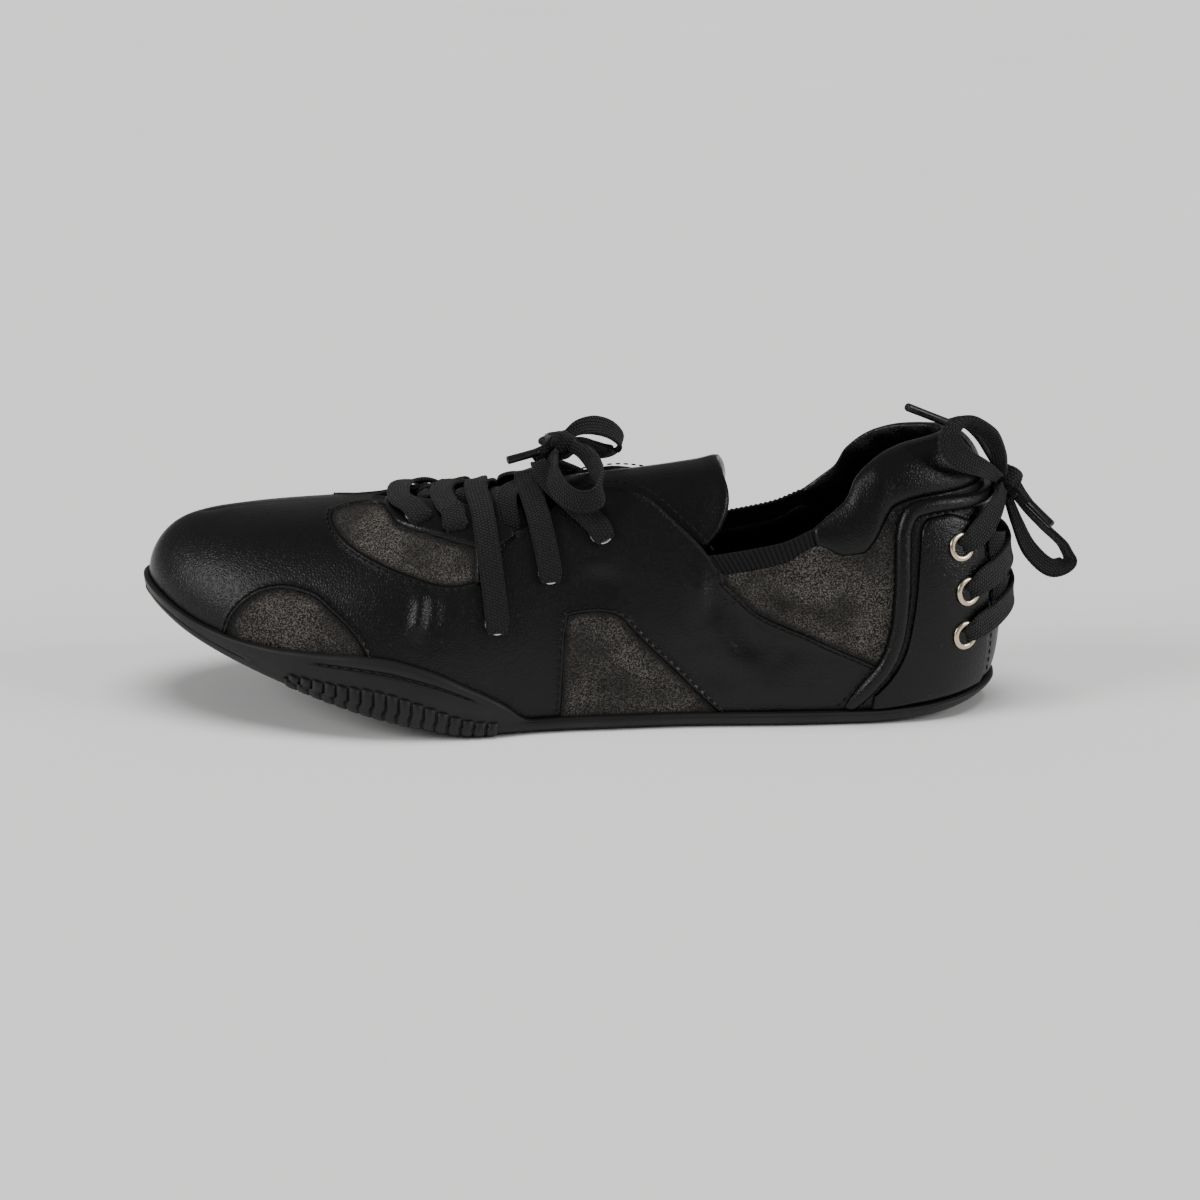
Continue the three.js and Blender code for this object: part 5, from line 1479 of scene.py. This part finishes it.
def geometry_group(name, sizes):
    """Geometry Nodes tree with named sizes and a material."""
    inputs = [("Geometry", "NodeSocketGeometry", None), *[(label, FLOAT, value) for label, value in sizes]]
    inputs.append(("Finish", "NodeSocketMaterial", None))
    return new_group(name, "GeometryNodeTree", inputs, [("Geometry", "NodeSocketGeometry")])


def run_tree(name, points, vectors, edges, group, sizes, look):
    """Applies a tree to points that carry vectors, and gives back a plain mesh object."""
    mesh = bpy.data.meshes.new(name)
    mesh.from_pydata((np.asarray(points) * MM).tolist(), edges, [])
    for label, values in vectors.items():
        store = mesh.attributes.new(label, "FLOAT_VECTOR", "POINT")
        store.data.foreach_set("vector", np.asarray(values, float).ravel())
    obj = bpy.data.objects.new(name, mesh)
    bpy.context.collection.objects.link(obj)
    modifier = obj.modifiers.new(name, "NODES")
    modifier.node_group = group
    for item in group.interface.items_tree:
        if item.item_type == "SOCKET" and item.in_out == "INPUT" and item.name in sizes:
            modifier[item.identifier] = sizes[item.name]
        if item.item_type == "SOCKET" and item.in_out == "INPUT" and item.name == "Finish":
            modifier[item.identifier] = look
    bpy.context.view_layer.update()
    done = bpy.data.meshes.new_from_object(obj.evaluated_get(bpy.context.evaluated_depsgraph_get()))
    obj.modifiers.clear()
    obj.data = done
    if not done.materials:
        done.materials.append(look)
    return obj


rings_tree, g_in, g_out = geometry_group("Eyelet rings", [
    ("Ring Radius", 0.0035), ("Band Half Width", 0.0009), ("Barrel Length", 0.003)])
hoop = node(rings_tree, "GeometryNodeCurvePrimitiveCircle", {
    "Resolution": 40, "Radius": g_in.outputs["Ring Radius"]}, mode="RADIUS")
band = node(rings_tree, "GeometryNodeCurvePrimitiveCircle", {
    "Resolution": 14, "Radius": g_in.outputs["Band Half Width"]}, mode="RADIUS")
flat = node(rings_tree, "GeometryNodeTransform", {"Geometry": band.outputs[0], "Scale": (1.0, 0.62, 1.0)})
rim = node(rings_tree, "GeometryNodeCurveToMesh", {
    "Curve": hoop.outputs[0], "Profile Curve": flat.outputs[0]})
bore_radius = maths(rings_tree, "SUBTRACT", g_in.outputs["Ring Radius"],
                    maths(rings_tree, "MULTIPLY", g_in.outputs["Band Half Width"], 0.8))
bore = node(rings_tree, "GeometryNodeCurvePrimitiveCircle", {
    "Resolution": 40, "Radius": bore_radius}, mode="RADIUS")
sheet = node(rings_tree, "GeometryNodeCurvePrimitiveQuadrilateral", {
    "Width": 0.0003, "Height": g_in.outputs["Barrel Length"]}, mode="RECTANGLE")
tube = node(rings_tree, "GeometryNodeCurveToMesh", {
    "Curve": bore.outputs[0], "Profile Curve": sheet.outputs[0]})
drop = node(rings_tree, "ShaderNodeCombineXYZ", {
    "Z": maths(rings_tree, "MULTIPLY", g_in.outputs["Barrel Length"], -0.5)})
sunk = node(rings_tree, "GeometryNodeTransform", {
    "Geometry": tube.outputs[0], "Translation": drop.outputs[0]})
both = node(rings_tree, "GeometryNodeJoinGeometry")
for part in (rim, sunk):
    rings_tree.links.new(part.outputs[0], both.inputs[0])
facing_up = node(rings_tree, "GeometryNodeInputNamedAttribute", {"Name": "up"}, data_type="FLOAT_VECTOR")
aim = node(rings_tree, "FunctionNodeAlignRotationToVector", {"Vector": facing_up.outputs[0]}, axis="Z")
copies = node(rings_tree, "GeometryNodeInstanceOnPoints", {
    "Points": g_in.outputs["Geometry"], "Instance": both.outputs[0], "Rotation": aim.outputs[0]})
real = node(rings_tree, "GeometryNodeRealizeInstances", {"Geometry": copies.outputs[0]})
smooth = node(rings_tree, "GeometryNodeSetShadeSmooth", {"Geometry": real.outputs[0]})
finish = node(rings_tree, "GeometryNodeSetMaterial", {
    "Geometry": smooth.outputs[0], "Material": g_in.outputs["Finish"]})
rings_tree.links.new(finish.outputs[0], g_out.inputs["Geometry"])

# %% Eyelets of the throat and the heel


def holes(rows, bases):
    """Places and outward directions of the holes on both sides."""
    points, ups = [], []
    for (s, v), base in zip(rows, bases):
        for inner in (False, True):
            u = turn(s, inner)
            points.append(lasted(u, v, base))
            ups.append(outward(u, v))
    return points, ups


points, ups = holes(THROAT_HOLES, [ON_FACING + 0.25] * 2 + [0.25] * 3)
throat_eyelets = run_tree("throat_eyelets", points, {"up": ups}, [], rings_tree, {
    "Ring Radius": 0.0031, "Band Half Width": 0.0005, "Barrel Length": 0.0028}, STEEL)
dress(throat_eyelets, ["throat_eyelet_%s_%d" % (side, i) for side in ("outer", "inner")
                                for i in range(1, 6)])
points, ups = holes(HEEL_HOLES, [1.55] * 3)
heel_eyelets = run_tree("heel_eyelets", points, {"up": ups}, [], rings_tree, {
    "Ring Radius": 0.0036, "Band Half Width": 0.00095, "Barrel Length": 0.0032}, NICKEL)
dress(heel_eyelets, ["heel_eyelet_%s_%d" % (side, i) for side in ("outer", "inner")
                               for i in range(1, 4)])

# %% [markdown]
# ## Stitches
# The seams are sewn with thick black thread. A second tree takes each seam as a polyline whose points
# carry the outward direction, spaces it evenly, and lays one short thread on each step.

# %% A tree that sews along a path
stitch_tree, g_in, g_out = geometry_group("Stitches", [
    ("Pitch", 0.0026), ("Stitch Length", 0.0019), ("Thread Radius", 0.00028)])
path = node(stitch_tree, "GeometryNodeMeshToCurve", {"Mesh": g_in.outputs["Geometry"]})
even = node(stitch_tree, "GeometryNodeResampleCurve", {
    "Curve": path.outputs[0], "Length": g_in.outputs["Pitch"]}, mode="LENGTH")
thread = node(stitch_tree, "GeometryNodeMeshUVSphere", {"Segments": 7, "Rings": 5, "Radius": 1.0})
half_long = maths(stitch_tree, "MULTIPLY", g_in.outputs["Stitch Length"], 0.5)
shape = node(stitch_tree, "ShaderNodeCombineXYZ", {
    "X": half_long, "Y": g_in.outputs["Thread Radius"], "Z": g_in.outputs["Thread Radius"]})
one = node(stitch_tree, "GeometryNodeTransform", {"Geometry": thread.outputs[0], "Scale": shape.outputs[0]})
tangent = node(stitch_tree, "GeometryNodeInputTangent")
lie = node(stitch_tree, "FunctionNodeAlignRotationToVector", {"Vector": tangent.outputs[0]}, axis="X")
facing_up = node(stitch_tree, "GeometryNodeInputNamedAttribute", {"Name": "up"}, data_type="FLOAT_VECTOR")
stand = node(stitch_tree, "FunctionNodeAlignRotationToVector", {
    "Rotation": lie.outputs[0], "Vector": facing_up.outputs[0]}, axis="Z", pivot_axis="X")
copies = node(stitch_tree, "GeometryNodeInstanceOnPoints", {
    "Points": even.outputs[0], "Instance": one.outputs[0], "Rotation": stand.outputs[0]})
real = node(stitch_tree, "GeometryNodeRealizeInstances", {"Geometry": copies.outputs[0]})
smooth = node(stitch_tree, "GeometryNodeSetShadeSmooth", {"Geometry": real.outputs[0]})
finish = node(stitch_tree, "GeometryNodeSetMaterial", {
    "Geometry": smooth.outputs[0], "Material": g_in.outputs["Finish"]})
stitch_tree.links.new(finish.outputs[0], g_out.inputs["Geometry"])

# %% Seams that show their stitches


def beside(path, offset, lift, inner):
    """Points on the finished upper at a distance beside a path, with their outward directions."""
    u, v = turn(path[:, 0], inner), path[:, 1]
    step = 0.003
    along_u = (surface(u + step, v) - surface(u - step, v)) / (2 * step)
    w = np.clip(v, step, 1 - step)
    along_v = (surface(u, w + step) - surface(u, w - step)) / (2 * step)
    points = surface(u, v)
    side = np.cross(outward(u, v), unit(np.gradient(points, axis=0))) * (offset if inner else -offset)
    uu, vv, uv = [np.sum(a * b, -1) for a, b in ((along_u, along_u), (along_v, along_v), (along_u, along_v))]
    ud, vd = np.sum(along_u * side, -1), np.sum(along_v * side, -1)
    whole = uu * vv - uv * uv
    u, v = u + (ud * vv - vd * uv) / whole, np.clip(v + (vd * uu - ud * uv) / whole, 0, 0.999)
    high = relief(fields(u, v)[0]) + creased(u, v) + lift
    return lasted(u, v, high), outward(u, v)


def edge_of(rows):
    """A table's edge as (s, v)."""
    s = np.linspace(rows["s"][0], rows["s"][-1], 80)
    return np.stack([s, pick(rows, s, "v")], 1)


s = np.linspace(0.335, 0.480, 60)
WING_EDGE = np.stack([s, pick(TOPLINE, s, "v")], 1)
s = np.linspace(0.035, 0.200, 60)
PAD_EDGE = np.stack([s, pick(TOPLINE, s, "v")], 1)
COUNTER_REAR = spline([(0.024, 0.36), (0.021, 0.20), (0.020, 0.05)], 30)
ROLL_LINE = spline(ROLL[:-2], 60)
WING_BOX = spline([(0.316, 0.347), (0.306, 0.328), (0.310, 0.295), (0.320, 0.307)], 20)
ROWS = [
    (TOE_DOME, -1.9, 0.15), (CRESCENT_LOW, 1.9, 0.15), (WAIST_EDGE, -1.7, 0.15), (WAIST_SLOPE, -1.7, 0.15),
    (REAR_SEAM, 1.7, 0.15), (QUARTER_FRONT, 1.6, 0.15), (WING_EDGE, 2.4, 0.15), (WING_BOX, 0.0, 0.2),
    (edge_of(COUNTER_TOP), 1.8, 1.35), (COUNTER_REAR, 0.0, 1.35), (PAD_EDGE, -2.0, 1.45),
    (ROLL_LINE, 2.7, 0.25), (ROLL_LINE, -2.7, 0.25),
]
points, ups, edges = [], [], []
for path, offset, lift in ROWS:
    for inner in (False, True):
        p, up = beside(path, offset, lift, inner)
        edges += [(len(points) + k, len(points) + k + 1) for k in range(len(p) - 1)]
        points += p.tolist()
        ups += up.tolist()
stitches = run_tree("seam_stitches", points, {"up": ups}, edges, stitch_tree, {
    "Pitch": 0.0026, "Stitch Length": 0.0020, "Thread Radius": 0.00027}, THREAD)
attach(stitches, "root")
print("stitch faces:", len(stitches.data.polygons))
points, ups, edges = [], [], []
for inner in (False, True):
    s = np.linspace(GROOVE_ENDS[0] + 0.008, GROOVE_ENDS[1] - 0.008, 60)
    u = turn(s, inner)
    edges += [(len(points) + k, len(points) + k + 1) for k in range(len(s) - 1)]
    points += lasted(u, level_at(u, bumper_high(s) * GROOVE_AT), wall_thick(s) * 0.62 + 0.1).tolist()
    ups += outward(u, 0 * u + 0.1).tolist()
moulded = run_tree("moulded_stitches", points, {"up": ups}, edges, stitch_tree, {
    "Pitch": 0.0031, "Stitch Length": 0.0025, "Thread Radius": 0.0004}, RUBBER)
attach(moulded, "root")
print("moulded stitch faces:", len(moulded.data.polygons))

# %% [markdown]
# ## The place
# A plain pale floor and broad soft light, as in a studio. Wide suns light the floor evenly as far as it
# is seen. The left and right ones give black leather its highlights. The top one lights the floor and
# the suede, and smooth leather doesn't mirror it, as if it came from a ceiling too large to stand out.
# The floor is stage, so it isn't part of the shoe.

# %% Floor and light
floor_material, tree, shader, place = new_material("pale_floor", 0.8, specular=0.0)
# Painted light and shade: the floor's colour is a few percent lighter and darker in broad patches, as uneven
# light would make it.
shade = noise(tree, place.outputs["Object"], 3.0, 2.0)
pale = blend(tree, shade.outputs["Fac"], grey(0.70, 0.008), grey(0.74, 0.008))
tree.links.new(pale, shader.inputs["Base Color"])
FLOOR_HALF = 9
corners = [(x * FLOOR_HALF, y * FLOOR_HALF, 0) for x, y in ((-1, -1), (1, -1), (1, 1), (-1, 1))]
floor_mesh = bpy.data.meshes.new("floor")
floor_mesh.from_pydata(corners, [], [(0, 1, 2, 3)])
floor_mesh.materials.append(floor_material)
floor_object = bpy.data.objects.new("floor", floor_mesh)
bpy.context.collection.objects.link(floor_object)
world = bpy.data.worlds.new("studio")
bpy.context.scene.world = world
world.use_nodes = True
world.node_tree.nodes["Background"].inputs["Color"].default_value = (1.0, 0.998, 0.99, 1)
world.node_tree.nodes["Background"].inputs["Strength"].default_value = 0.22


def sun(name, toward, wide, power):
    """A broad light from a direction, with its width in degrees."""
    data = bpy.data.lights.new(name, "SUN")
    data.angle = math.radians(wide)
    data.energy = power
    obj = bpy.data.objects.new(name, data)
    bpy.context.collection.objects.link(obj)
    obj.rotation_euler = Vector(toward).to_track_quat("Z", "Y").to_euler()
    return obj


sun("left_light", (-0.85, -0.42, 0.55), 28, 1.9)
sun("right_light", (0.85, -0.32, 0.4), 30, 1.6)
sun("top_light", (0.1, -0.1, 1.0), 40, 2.7).visible_glossy = False
print("lamps:", len(bpy.data.lights))
